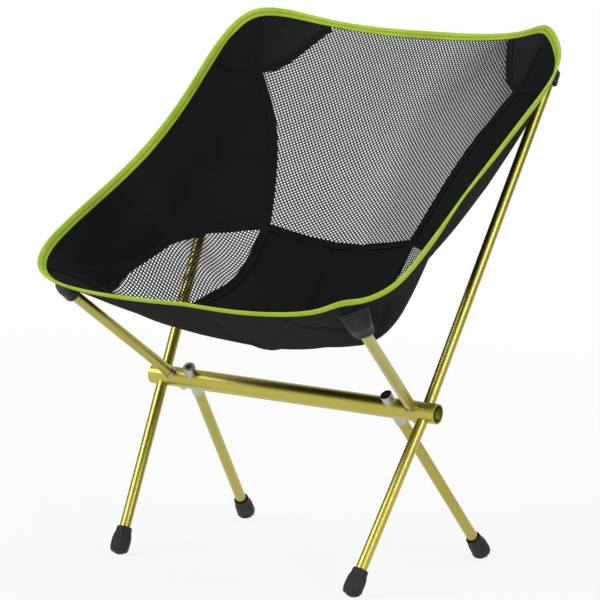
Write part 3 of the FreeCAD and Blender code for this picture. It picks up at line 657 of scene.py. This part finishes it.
def next_knots(first, second, guess):
    """The knots on the fabric that are one pitch from both neighbours, by Newton's method."""
    place = guess[:, :2].copy()
    for _ in range(NEWTON_STEPS):
        height, slope_x, slope_y = quick_height(place[:, 0], place[:, 1])
        knot = np.column_stack([place, height])
        a, b = knot - first, knot - second
        miss_a = (a * a).sum(1) - NET_PITCH**2
        miss_b = (b * b).sum(1) - NET_PITCH**2
        a_x, a_y = 2 * (a[:, 0] + a[:, 2] * slope_x), 2 * (a[:, 1] + a[:, 2] * slope_y)
        b_x, b_y = 2 * (b[:, 0] + b[:, 2] * slope_x), 2 * (b[:, 1] + b[:, 2] * slope_y)
        spread = a_x * b_y - a_y * b_x
        spread = np.where(np.abs(spread) < 1.0, 1.0, spread)
        place[:, 0] -= np.clip((miss_a * b_y - miss_b * a_y) / spread, -NEWTON_LEAP, NEWTON_LEAP)
        place[:, 1] -= np.clip((miss_b * a_x - miss_a * b_x) / spread, -NEWTON_LEAP, NEWTON_LEAP)
    return np.column_stack([place, quick_height(place[:, 0], place[:, 1])[0]])


def lay_thread(start, run, count):
    """Knots one pitch apart along a thread that runs straight over the fabric."""
    knots = [start]
    for _ in range(count):
        ahead = knots[-1] + run * NET_PITCH
        ahead[2] = quick_height(ahead[0], ahead[1])[0]
        run = unit(ahead - knots[-1])
        ahead = knots[-1] + run * NET_PITCH
        ahead[2] = quick_height(ahead[0], ahead[1])[0]
        knots.append(ahead)
    return np.array(knots[1:])


def drape_net(middle, reach, steep, turn):
    """A square array of knots laid outwards from a place in plan. Its threads run at the angle
    steep to each side of the level line there, and turn swings both."""
    height, slope_x, slope_y = quick_height(*np.array(middle, float))
    start = np.array([*middle, height])
    uphill = unit(np.array([slope_x, slope_y, slope_x**2 + slope_y**2]))
    level_run = unit(np.cross(uphill, (-slope_x, -slope_y, 1.0)))
    net = np.zeros((2 * reach + 1, 2 * reach + 1, 3))
    net[reach, reach] = start
    for side in (1, -1):
        ends = slice(reach + side, None, side)
        for angle, place in ((turn + steep, (ends, reach)), (turn - steep, (reach, ends))):
            angle = math.radians(angle)
            run = level_run * math.cos(angle) + uphill * math.sin(angle)
            net[place] = lay_thread(start, side * run, reach)
    for side_i in (1, -1):
        for side_j in (1, -1):
            for total in range(2, 2 * reach + 1):
                i = np.arange(max(1, total - reach), min(reach, total - 1) + 1)
                j = total - i
                row, column = reach + side_i * i, reach + side_j * j
                first, second = net[row - side_i, column], net[row, column - side_j]
                guess = first + second - net[row - side_i, column - side_j]
                net[row, column] = next_knots(first, second, guess)
    return net


def inside(outline, places):
    """Whether places in plan are inside a closed outline."""
    a, b = outline, np.roll(outline, -1, axis=0)
    x, y = places[:, :1], places[:, 1:2]
    crosses = (a[:, 1] > y) != (b[:, 1] > y)
    rise = np.where(a[:, 1] == b[:, 1], np.inf, b[:, 1] - a[:, 1])
    at = a[:, 0] + (y - a[:, 1]) * (b[:, 0] - a[:, 0]) / rise
    return (crosses & (x < at)).sum(1) % 2 == 1


def from_line(line, places):
    """The distance from places in plan to a line of points."""
    return np.linalg.norm(places[:, None] - line[None], axis=2).min(1)


rim_outline = np.concatenate([rim_fine, mirrored(rim_fine)[::-1]])[:, :2]


def mesh_panel(name, low, high, start, end, middle, reach, steep=45.0, turn=0.0):
    """A net cut to four seam curves; reach is its half width in knots."""
    sizes, area = cut_size(low, high, start, end)
    net = drape_net((abs(middle[0]), middle[1]), reach, steep, turn)
    if middle[0] < 0:
        net = mirrored(net)
    piece, row, column = grid_piece(name, 2 * reach, 2 * reach)
    below = sling_normal(net[row, column, :2]) * FABRIC_THICKNESS * 0.5
    move_points(piece, net[row, column] - below)
    outline = joined(low, end, high[::-1], start[::-1])
    bm = bmesh.new()
    bm.from_mesh(piece.data)
    centres = np.array([face.calc_center_median()[:2] for face in bm.faces]) / MM
    keep = inside(outline, centres) | (from_line(outline, centres) < SEAM_OVERLAP)
    keep &= inside(rim_outline, centres) & (from_line(rim_outline, centres) > SEAM_OVERLAP)
    spare = [face for face, kept in zip(bm.faces, keep) if not kept]
    bmesh.ops.delete(bm, geom=spare, context="FACES")
    bmesh.ops.recalc_face_normals(bm, faces=bm.faces)
    bm.to_mesh(piece.data)
    bm.free()
    apply_modifier(piece, "WIREFRAME", thickness=NET_THREAD * MM, use_boundary=True)
    bpy.ops.object.shade_smooth()
    print(f"{name}: {int(keep.sum())} holes, {len(piece.data.polygons)} faces")
    return piece, sizes, area


# %% [markdown]
# ## Cloth and tape finishes
# Each pattern takes its scale from the real thing in millimetres. The colour drifts a little over
# every piece, and weave, ribs and stitches are a fine relief that the light catches.

# %% Patterns
STITCH_SHARE = 0.7
STITCH_HALF_WIDTH = 0.4


def scaled_uv(tree, per_metre):
    """The piece's UV map, in repeats per metre."""
    place = add_node(tree, "TexCoord").outputs["UV"]
    return add_node(tree, "Mapping", {"Vector": place, "Scale": per_metre})


def waves(tree, vector, axis):
    """A cosine along one axis of a vector, one wave for each whole step."""
    place = add_node(tree, "SeparateXYZ", {0: vector}).outputs[axis]
    turn = add_node(tree, "Math", {0: place, 1: 2 * math.pi}, operation="MULTIPLY")
    return add_node(tree, "Math", {0: turn}, operation="COSINE")


def weave_height(tree, thread_mm):
    """Over-and-under relief of a plain weave with threads that far apart."""
    vector = scaled_uv(tree, (1000 / thread_mm,) * 3)
    both = {0: waves(tree, vector, "X"), 1: waves(tree, vector, "Y")}
    return add_node(tree, "Math", both, operation="MULTIPLY")


def stitches(tree, rows_mm, pitch_mm):
    """1 on the threads of stitch rows: rows_mm across a tape, one stitch each pitch_mm along it."""
    vector = scaled_uv(tree, (1000, 1000, 1000))
    along, across, _ = add_node(tree, "SeparateXYZ", {0: vector}).outputs
    steps = add_node(tree, "Math", {0: along, 1: pitch_mm}, operation="DIVIDE")
    steps = add_node(tree, "Math", {0: steps}, operation="FRACT")
    dash = add_node(tree, "Math", {0: steps, 1: STITCH_SHARE}, operation="LESS_THAN")
    rows = 0.0
    for row in rows_mm:
        off = add_node(tree, "Math", {0: across, 1: row}, operation="SUBTRACT")
        off = add_node(tree, "Math", {0: off}, operation="ABSOLUTE")
        near = {0: off, 1: STITCH_HALF_WIDTH}
        near = {0: add_node(tree, "Math", near, operation="LESS_THAN"), 1: rows}
        rows = add_node(tree, "Math", near, operation="MAXIMUM")
    return add_node(tree, "Math", {0: rows, 1: dash}, operation="MULTIPLY")


def mottled(tree, dark, light, patch_mm):
    """A colour that drifts softly between two, in patches about that wide."""
    place = add_node(tree, "TexCoord").outputs["Object"]
    noise = {"Vector": place, "Scale": 1000 / patch_mm, "Detail": 4.0}
    ramp = add_node(tree, "ValToRGB", {0: add_node(tree, "TexNoise", noise)})
    for stop, position, shade in zip(ramp.color_ramp.elements, (0.35, 0.65), (dark, light)):
        stop.position = position
        stop.color = colour(shade)
    return ramp


def dress(tree, base, gloss, relief=None, depth_mm=0.0):
    """Ends a material's tree with its base colour, the values of its gloss and a relief."""
    inputs = {"Base Color": base, **gloss}
    if relief:
        bump = {"Height": relief, "Strength": 1.0, "Distance": depth_mm * MM}
        inputs["Normal"] = add_node(tree, "Bump", bump)
    finish_material(tree, add_node(tree, "BsdfPrincipled", inputs))


# %% Cloth
# Close-woven polyester: nearly black and matt, so that the folds show only as soft shades. Its
# real threads are finer and are drawn 1 mm apart, so that they show.
cloth, tree = new_material("woven_polyester")
matt = {"Roughness": 0.86, "Specular IOR Level": 0.14}
dress(tree, mottled(tree, "#131112", "#181617", 71.43), matt, weave_height(tree, 1.0), 0.12)

# Knitted polyester thread: black and rounded, with a slight gloss and a twist of about 1 mm.
mesh_cloth, tree = new_material("knitted_mesh")
twist = {"Vector": add_node(tree, "TexCoord").outputs["Object"], "Scale": 900.0}
twist = add_node(tree, "TexNoise", {**twist, "Detail": 2.0})
thread = {"Roughness": 0.7, "Specular IOR Level": 0.2}
dress(tree, mottled(tree, "#131112", "#1A1819", 25.0), thread, twist, 0.1)

# Heavy ribbed cloth on the top corners, where the poles push: 3 mm ribs that catch the light.
patch_cloth, tree = new_material("ribbed_patch")
ribs = waves(tree, scaled_uv(tree, (1.0, 1000 / 3.0, 1.0)), "Y")
ribbed = {"Roughness": 0.7, "Specular IOR Level": 0.16}
dress(tree, mottled(tree, "#0E0C0D", "#131112", 50.0), ribbed, ribs, 0.35)


# %% Tapes and coated cloth
def stitched_tape(name, dark, light, thread, rows_mm, rib_mm, gloss):
    """Polyester tape with fine ribs across it, sewn down with rows of a slightly lighter thread."""
    material, tree = new_material(name)
    sewn = stitches(tree, rows_mm, 3.4)
    # The colour sockets of a Mix node are numbers 6 and 7 in and number 2 out.
    mix = {"Factor": sewn, 6: mottled(tree, dark, light, 33.33), 7: colour(thread)}
    mix = add_node(tree, "Mix", mix, data_type="RGBA")
    ribs = {0: waves(tree, scaled_uv(tree, (1000 / rib_mm, 1.0, 1.0)), "X"), 1: 0.15}
    relief = {0: add_node(tree, "Math", ribs, operation="MULTIPLY"), 1: sewn}
    relief = add_node(tree, "Math", relief, operation="SUBTRACT")
    dress(tree, mix.outputs[2], {"Roughness": 0.8, "Specular IOR Level": gloss}, relief, 0.4)
    return material


def coated_cloth(name, dark, light, roughness):
    """Pack cloth with a coat of resin: the weave shows as fine squares under a dull gloss, and a
    row of stitches runs round the hem."""
    material, tree = new_material(name)
    relief = {0: weave_height(tree, 0.8), 1: stitches(tree, (5.0,), 3.0)}
    relief = add_node(tree, "Math", relief, operation="SUBTRACT")
    gloss = {"Roughness": roughness, "Specular IOR Level": 0.4}
    dress(tree, mottled(tree, dark, light, 16.67), gloss, relief, 0.25)
    return material


# Bright green grosgrain: the chair's one strong colour, with a fine tooth from its ribs.
tape_cloth = stitched_tape(
    "green_grosgrain", "#A3C430", "#B2CF40", "#86A524", rows_mm=(6.9, 17.9), rib_mm=1.2, gloss=0.2
)
# Flat black tape over the wide seams, darker than the cloth, with two pale rows of stitches.
seam_cloth = stitched_tape(
    "black_seam_tape", "#0C0A0B", "#0E0C0D", "#222021", rows_mm=(1.6, 8.4), rib_mm=1.0, gloss=0.12
)
# Felled seams are the cloth folded over itself and sewn twice: a narrow raised line.
thin_seam_cloth = stitched_tape(
    "black_felled_seam", "#0D0B0C", "#110F10", "#201E1F", rows_mm=(1.2, 4.8), rib_mm=1.0, gloss=0.12
)
# The front pockets are grey and shine most, and the rear ones are black and duller.
front_pocket_cloth = coated_cloth("grey_coated_cloth", "#201F1F", "#2A2929", roughness=0.36)
rear_pocket_cloth = coated_cloth("black_coated_cloth", "#121011", "#1A1818", roughness=0.55)
print(len(bpy.data.materials), "materials so far")

# %% [markdown]
# ## The panels
# Each panel of the sling is cut and named as the CAD node that it stands for. It is one flat piece
# of cloth that the chair keeps stretched.

# %% Make the panels
def place_panel(made, node, material):
    piece, sizes, area = made
    hang(piece, material, node)
    area = min(area, sizes[0] * sizes[1])


SIDES = {"left": -1, "right": 1}


def on_side(side, *lines):
    """Lines in plan on the asked side of the chair."""
    return [mirrored(line) if side < 0 else line for line in lines]


def shrunk(place):
    """A side of a panel that has shrunk to a point."""
    return place[None].repeat(SEAM_SAMPLES, axis=0)


back_side = joined(mesh_side[::-1], patch_seam[::-1])
back_top = joined(mirrored(rim_back)[::-1], rim_back)
back_edges = mesh_bottom, back_top, mirrored(back_side), back_side
made = mesh_panel("mesh_of_the_back", *back_edges, middle=(0, 190), reach=82, steep=52.0)
place_panel(made, "back_mesh", mesh_cloth)

seat_side = joined(side_inner, front_seam)
seat_front = joined(mirrored(rim_front), rim_front[::-1])
seat_edges = seat_front, mesh_bottom, mirrored(seat_side)[::-1], seat_side[::-1]
place_panel(panel("seat_cloth", *seat_edges), "seat_panel", cloth)

wing_side = joined(mesh_side, side_outer)
wing_edges = front_seam, wing_seam, wing_side[::-1], rim_wing[::-1]
mesh_edges = shrunk(side_inner[0]), shrunk(side_inner[-1]), side_inner, side_outer
patch_edges = shrunk(patch_seam[-1]), rim_patch, patch_seam[::-1], corner_seam
corner_edges = shrunk(patch_seam[-1]), rim_corner, corner_seam, wing_seam
for name, side in SIDES.items():
    made = panel("wing_cloth_" + name, *on_side(side, *wing_edges))
    place_panel(made, "wing_" + name, cloth)
    edges = on_side(side, *mesh_edges)
    middle = (side * 145, -20)
    made = mesh_panel("side_mesh_cloth_" + name, *edges, middle=middle, reach=48, turn=12.0)
    place_panel(made, "side_mesh_" + name, mesh_cloth)
    made = panel("corner_patch_cloth_" + name, *on_side(side, *patch_edges))
    place_panel(made, "corner_patch_" + name, patch_cloth)
    made = panel("corner_cloth_" + name, *on_side(side, *corner_edges))
    place_panel(made, "corner_wing_" + name, cloth)

# %% [markdown]
# ## Seam tape
# Every join between two panels is covered with black tape, sewn down with two rows of stitches. The
# tape wraps the raw edges, so it is a band thicker than the cloth, laid along the seam. It stops at
# the rim, where the green binding covers its end.

# %% Seam tapes
BINDING_WIDTH = 11.5
BINDING_THICKNESS = 3.2
BINDING_COVERS = BINDING_WIDTH - 1.5
TAPE_THICKNESS = 2.4
TAPE_STANDS_UP = 0.35
TAPE_STEP = 3
TAPE_LANES = 6
TAPE_CREASE = math.radians(40)


def seam_tape(name, line, width, material):
    """A band of tape centred on a seam that is given in plan."""
    line = evenly(line, 200)
    line = line[from_line(rim_outline, line) > BINDING_COVERS]
    line = evenly(line, max(12, int(widest(on_sling(line)[None]) / TAPE_STEP)))
    centre = on_sling(line)
    across = unit(np.cross(sling_normal(line), unit(np.gradient(centre, axis=0))))
    length = widest(centre[None]) * MM
    piece, row, column = grid_piece(name, len(line) - 1, TAPE_LANES, (length, width * MM))
    offset = (row / TAPE_LANES - 0.5)[:, None] * width
    plan = (centre[column] + across[column] * offset)[:, :2]
    lift = TAPE_STANDS_UP - FABRIC_THICKNESS / 2
    move_points(piece, on_sling(plan) + sling_normal(plan) * lift)
    apply_modifier(piece, "SOLIDIFY", thickness=TAPE_THICKNESS * MM, offset=0)
    bpy.ops.object.shade_smooth_by_angle(angle=TAPE_CREASE)
    hang(piece, material)
    return length


seams = {"mesh_bottom": (mesh_bottom, 9.0, seam_cloth)}
for name, side in SIDES.items():
    for seam, line, width, material in (
        ("mesh_side_", mesh_side, 10.0, seam_cloth),
        ("patch_", patch_seam, 10.0, seam_cloth),
        ("corner_", corner_seam, 6.0, thin_seam_cloth),
        ("wing_top_", wing_seam, 6.0, thin_seam_cloth),
        ("side_outer_", side_outer, 7.0, thin_seam_cloth),
        ("side_inner_", side_inner, 11.0, seam_cloth),
        ("front_", front_seam, 6.0, thin_seam_cloth),
    ):
        seams[seam + name] = (*on_side(side, line), width, material)
sewn_metres = sum(seam_tape("seam_tape_" + name, *seam) for name, seam in seams.items())
print(f"{len(seams)} seams, {sewn_metres:.2f} m of tape")

# %% [markdown]
# ## Pole pockets
# Each pole tip is held in a sleeve of coated cloth under the corner of the fabric. The sleeve is
# open towards the pole, with a hem round its mouth, and past the tip it is pressed flat and sewn to
# the fabric. It is a row of cross-sections along the pole: round at the mouth, flat at the seam.

# %% Pole pockets
# The places are along the pole, from the middle of the cap, and the hem's is from the mouth.
SLEEVE_ROUND = 8.6
SLEEVE_CLOTH = 0.9
SLEEVE_COLUMNS = 32
SLEEVE_RINGS = 30
SLEEVE_SQUARE = 0.8
SLEEVE_CREASE = math.radians(50)
SLEEVE_PUFF = 8
SEWN_THICKNESS = 0.3
CAP_END = 8
CAP_ROOM = 7.9
FLAT_FROM = 7
FABRIC_GAP = 0.2
HEM_HEIGHT = 0.7
HEM_PLACE = 2.5
HEM_HALF_WIDTH = 1.6


def foot_on_sling(points):
    """The directions from places to the nearest fabric, and the distances."""
    plan = points[:, :2].copy()
    for _ in range(8):
        normal = sling_normal(plan)
        gap = ((on_sling(plan) - points) * normal).sum(axis=1)[:, None]
        plan = (points + gap * normal)[:, :2]
    return normal * np.sign(gap), np.abs(gap[:, 0])


def middle_of(node):
    """The middle of a CAD node's box, in millimetres."""
    low, high = (np.array([float(v) for v in corner]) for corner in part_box(node))
    return (low + high) / 2 / MM


def blunted(values, power):
    """Sines or cosines for an oval whose corners are pushed out; 1 leaves it round."""
    return np.sign(values) * np.abs(values) ** power


def pole_pocket(name, cap, pole, mouth, end, widths, material):
    """A sleeve round a pole tip. Its mouth and end are distances along the pole from the middle of
    the cap, and widths are half its width at both."""
    tip = middle_of(cap)
    along = unit(tip - middle_of(pole))
    angle = np.linspace(0, 2 * math.pi, SLEEVE_COLUMNS + 1)
    places = np.linspace(mouth, end, SLEEVE_RINGS)
    rings = []
    for place, towards, gap in zip(places, *foot_on_sling(tip + along * places[:, None])):
        towards = unit(towards - along * (towards @ along))
        across = np.cross(along, towards)
        share = smooth_step((place - FLAT_FROM) / (end - CAP_END))
        room = gap - FABRIC_THICKNESS - SLEEVE_CLOTH - FABRIC_GAP
        upper = min(SLEEVE_ROUND + SLEEVE_PUFF * share, room)
        upper = max(upper, CAP_ROOM) if place < CAP_END else upper
        lower = -SLEEVE_ROUND + (upper + SLEEVE_ROUND - SEWN_THICKNESS) * share
        widening = smooth_step((place - mouth) / (end - mouth))
        half_width = widths[0] + (widths[1] - widths[0]) * widening
        hem = HEM_HEIGHT * math.exp(-(((place - mouth - HEM_PLACE) / HEM_HALF_WIDTH) ** 2))
        sideways = blunted(np.cos(angle), SLEEVE_SQUARE) * (half_width + hem)
        half_height = (upper - lower) / 2 + hem * (1 - share)
        upwards = (upper + lower) / 2 + blunted(np.sin(angle), SLEEVE_SQUARE) * half_height
        point = tip + along * place
        rings.append(point + across * sideways[:, None] + towards * upwards[:, None])
    rings = np.array(rings)
    sizes = (widest(rings[:1]) * MM, (end - mouth) * MM)
    piece, row, column = grid_piece(name, SLEEVE_COLUMNS, SLEEVE_RINGS - 1, sizes)
    move_points(piece, rings[row, column % SLEEVE_COLUMNS])
    weld(piece)
    apply_modifier(piece, "SOLIDIFY", thickness=SLEEVE_CLOTH * MM, offset=1)
    bpy.ops.object.shade_smooth_by_angle(angle=SLEEVE_CREASE)
    hang(piece, material, name)
    print(name, "sleeve", round(end - mouth, 1), "mm")


for name in SIDES:
    for end, pole, reach, widths, material in (
        ("front", "front_seat_pole_", (-8.5, 27.0), (11.5, 16.5), front_pocket_cloth),
        ("rear", "rear_upper_pole_", (-7.8, 15.0), (8.7, 7.5), rear_pocket_cloth),
    ):
        cap = f"{end}_tip_cap_{name}"
        pole_pocket(f"{end}_pocket_{name}", cap, pole + name, *reach, widths, material)

# %% [markdown]
# ## The binding tape
# The tape is folded over the edge of the cloth, so its section is flat with rounded edges. A grid
# primitive has the rows and columns of a closed band: its points are moved round the rim, and
# merging doubles closes it both ways.

# %% Binding tape
SECTION_POINTS = 20
SECTION_BLUNT = 0.35
SECTION_FLAT = 0.6

tape_half = rim_curve(321)
tape_rim = np.concatenate([tape_half, mirrored(tape_half)[-2:0:-1]])
tape_rim[:, 2] += edge_lift(tape_rim[:, 0], tape_rim[:, 1])
tape_run = np.gradient(np.concatenate([tape_rim[-2:], tape_rim, tape_rim[:2]]), axis=0)[2:-2]
tape_up, tape_in = edge_frame(tape_rim, unit(tape_run))
turns = np.linspace(0, 2 * math.pi, SECTION_POINTS + 1)
section_in = BINDING_WIDTH / 2 * (1 - blunted(np.cos(turns), SECTION_BLUNT))
section_up = BINDING_THICKNESS / 2 * blunted(np.sin(turns), SECTION_FLAT) - FABRIC_THICKNESS / 2
points = (
    tape_rim[:, None]
    + tape_in[:, None] * section_in[None, :, None]
    + tape_up[:, None] * section_up[None, :, None]
)
rings = len(tape_rim)
tape_length = run_along(tape_rim)[-1] * MM
sizes = (tape_length, 2 * (BINDING_WIDTH + BINDING_THICKNESS / 2) * MM)
tape, row, column = grid_piece("binding_tape", rings, SECTION_POINTS, sizes)
move_points(tape, points[column % rings, row])
weld(tape)
bpy.ops.object.shade_smooth()
hang(tape, tape_cloth, "binding")
print(f"binding tape {tape_length:.2f} m")

# %% [markdown]
# ## Metals, rubber and plastic
# The poles and the hub are drawn aluminium tube, anodised in a yellow green. The sockets are bare
# aluminium, the feet are moulded rubber, and the cords are braided. CAD nodes keep their shape and
# take these finishes by the slot that the record gives each of them.

# %% Hard materials
def anodised_aluminium(name, dark, light):
    """Drawn tube, dyed and sealed: a tinted metal under a thin clear coat, with a soft gloss."""
    material, tree = new_material(name)
    coat = {"Metallic": 1.0, "Roughness": 0.38, "Coat Weight": 0.7, "Coat Roughness": 0.22}
    dress(tree, mottled(tree, dark, light, 111.1), coat)
    return material


def plain_finish(name, dark, light, roughness, metallic=0.0):
    """A moulded, bare or braided finish whose colour drifts slightly."""
    material, tree = new_material(name)
    gloss = {"Metallic": metallic, "Roughness": roughness}
    dress(tree, mottled(tree, dark, light, 11.11), gloss)
    return material


# Bare aluminium mirrors softly, rubber and plastic are dull and nearly black, and the cord is matt.
rubber_finish = plain_finish("moulded_rubber", "#0B0A09", "#141210", 0.6)
plastic_finish = plain_finish("moulded_plastic", "#141313", "#1B1A1A", 0.5)
FINISH_OF = {
    "hub_tube": anodised_aluminium("anodised_hub", "#B6AB42", "#C0B54B"),
    "pole_tubes": anodised_aluminium("anodised_poles", "#ADA23D", "#B8AD46"),
    "bare_aluminium": plain_finish("bare_aluminium", "#B4B0AA", "#C0BCB6", 0.32, metallic=1.0),
    "rubber_feet": rubber_finish,
    "tip_caps": plastic_finish,
    "cord_stops": plastic_finish,
    "elastic_cord": plain_finish("braided_cord", "#242222", "#302D2D", 0.8),
}
for entry in frame["record"]["subparts"]:
    finish = FINISH_OF.get(entry["material_slot"])
    if finish:
        node = frame["nodes"][entry["node"]]
        node.data.materials.clear()
        node.data.materials.append(finish)

# %% [markdown]
# ## Lugs on the rubber feet
# Each moulded foot has a ring of rounded lugs round its lower end, with grooves between them. They
# grip soft ground, and from the side they give the foot its notched outline. Each is a grid closed
# into a small ball, stretched along the foot and mostly sunk in it.

# %% Lugs on the feet
LUGS = 12
LUG_COLUMNS = 14
LUG_ROWS = 10
LUG_HALF_WIDTH = 2.6
LUG_HALF_LENGTH = 12.5
LUG_STANDS_OUT = 0.1
LUG_FROM_END = np.arange(15.0, 26.0, 0.5)
LUG_OFF_GROUND = 0.8
SLICE_HALF = 4


def foot_lugs(end, side, finish):
    """A ring of lugs round the lower end of one foot, each as low as the ground lets it be."""
    leg = f"{end}_leg_{side}"
    foot = f"{end}_foot_{side}"
    corners = np.array([list(vertex.co) for vertex in frame["nodes"][foot].data.vertices]) / MM
    centre = corners.mean(axis=0)
    down = unit(middle_of(foot) - middle_of(leg))
    sideways = unit(np.cross(down, (1, 0, 0)))
    other = np.cross(down, sideways)
    below = (corners - centre) @ down
    wide = np.linalg.norm(corners - centre - below[:, None] * down, axis=1)
    drop = math.hypot(LUG_HALF_LENGTH * down[2], LUG_HALF_WIDTH * math.hypot(down[0], down[1]))
    ring = []
    for turn in np.arange(LUGS) * 2 * math.pi / LUGS:
        outward = math.cos(turn) * sideways + math.sin(turn) * other
        for depth in below.max() - LUG_FROM_END:
            near = np.abs(below - depth) < SLICE_HALF
            reach = wide[near].max() if near.any() else 0
            place = centre + depth * down + outward * (reach + LUG_STANDS_OUT - LUG_HALF_WIDTH)
            if place[2] - drop > LUG_OFF_GROUND:
                break
        lug, row, column = grid_piece("lug", LUG_COLUMNS, LUG_ROWS)
        tilt = math.pi * (row / LUG_ROWS - 0.5)
        round_it = 2 * math.pi * ((column % LUG_COLUMNS) / LUG_COLUMNS + 0.25)
        wide_by = LUG_HALF_WIDTH * np.cos(tilt)
        ball = np.outer(np.cos(round_it) * wide_by, sideways)
        ball += np.outer(np.sin(round_it) * wide_by, other)
        ball -= np.outer(LUG_HALF_LENGTH * np.sin(tilt), down)
        move_points(lug, place + ball)
        weld(lug)
        ring.append(lug)
    deselect()
    for lug in ring:
        lug.select_set(True)
    bpy.context.view_layer.objects.active = ring[0]
    bpy.ops.object.join()
    bpy.ops.object.shade_smooth()
    lugs = bpy.context.object
    lugs.name = f"{end}_foot_lugs_{side}"
    lugs.data.materials.append(finish)
    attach(lugs, leg)
    print(lugs.name, LUGS)


for side in SIDES:
    for end in ("front", "rear"):
        foot_lugs(end, side, rubber_finish)
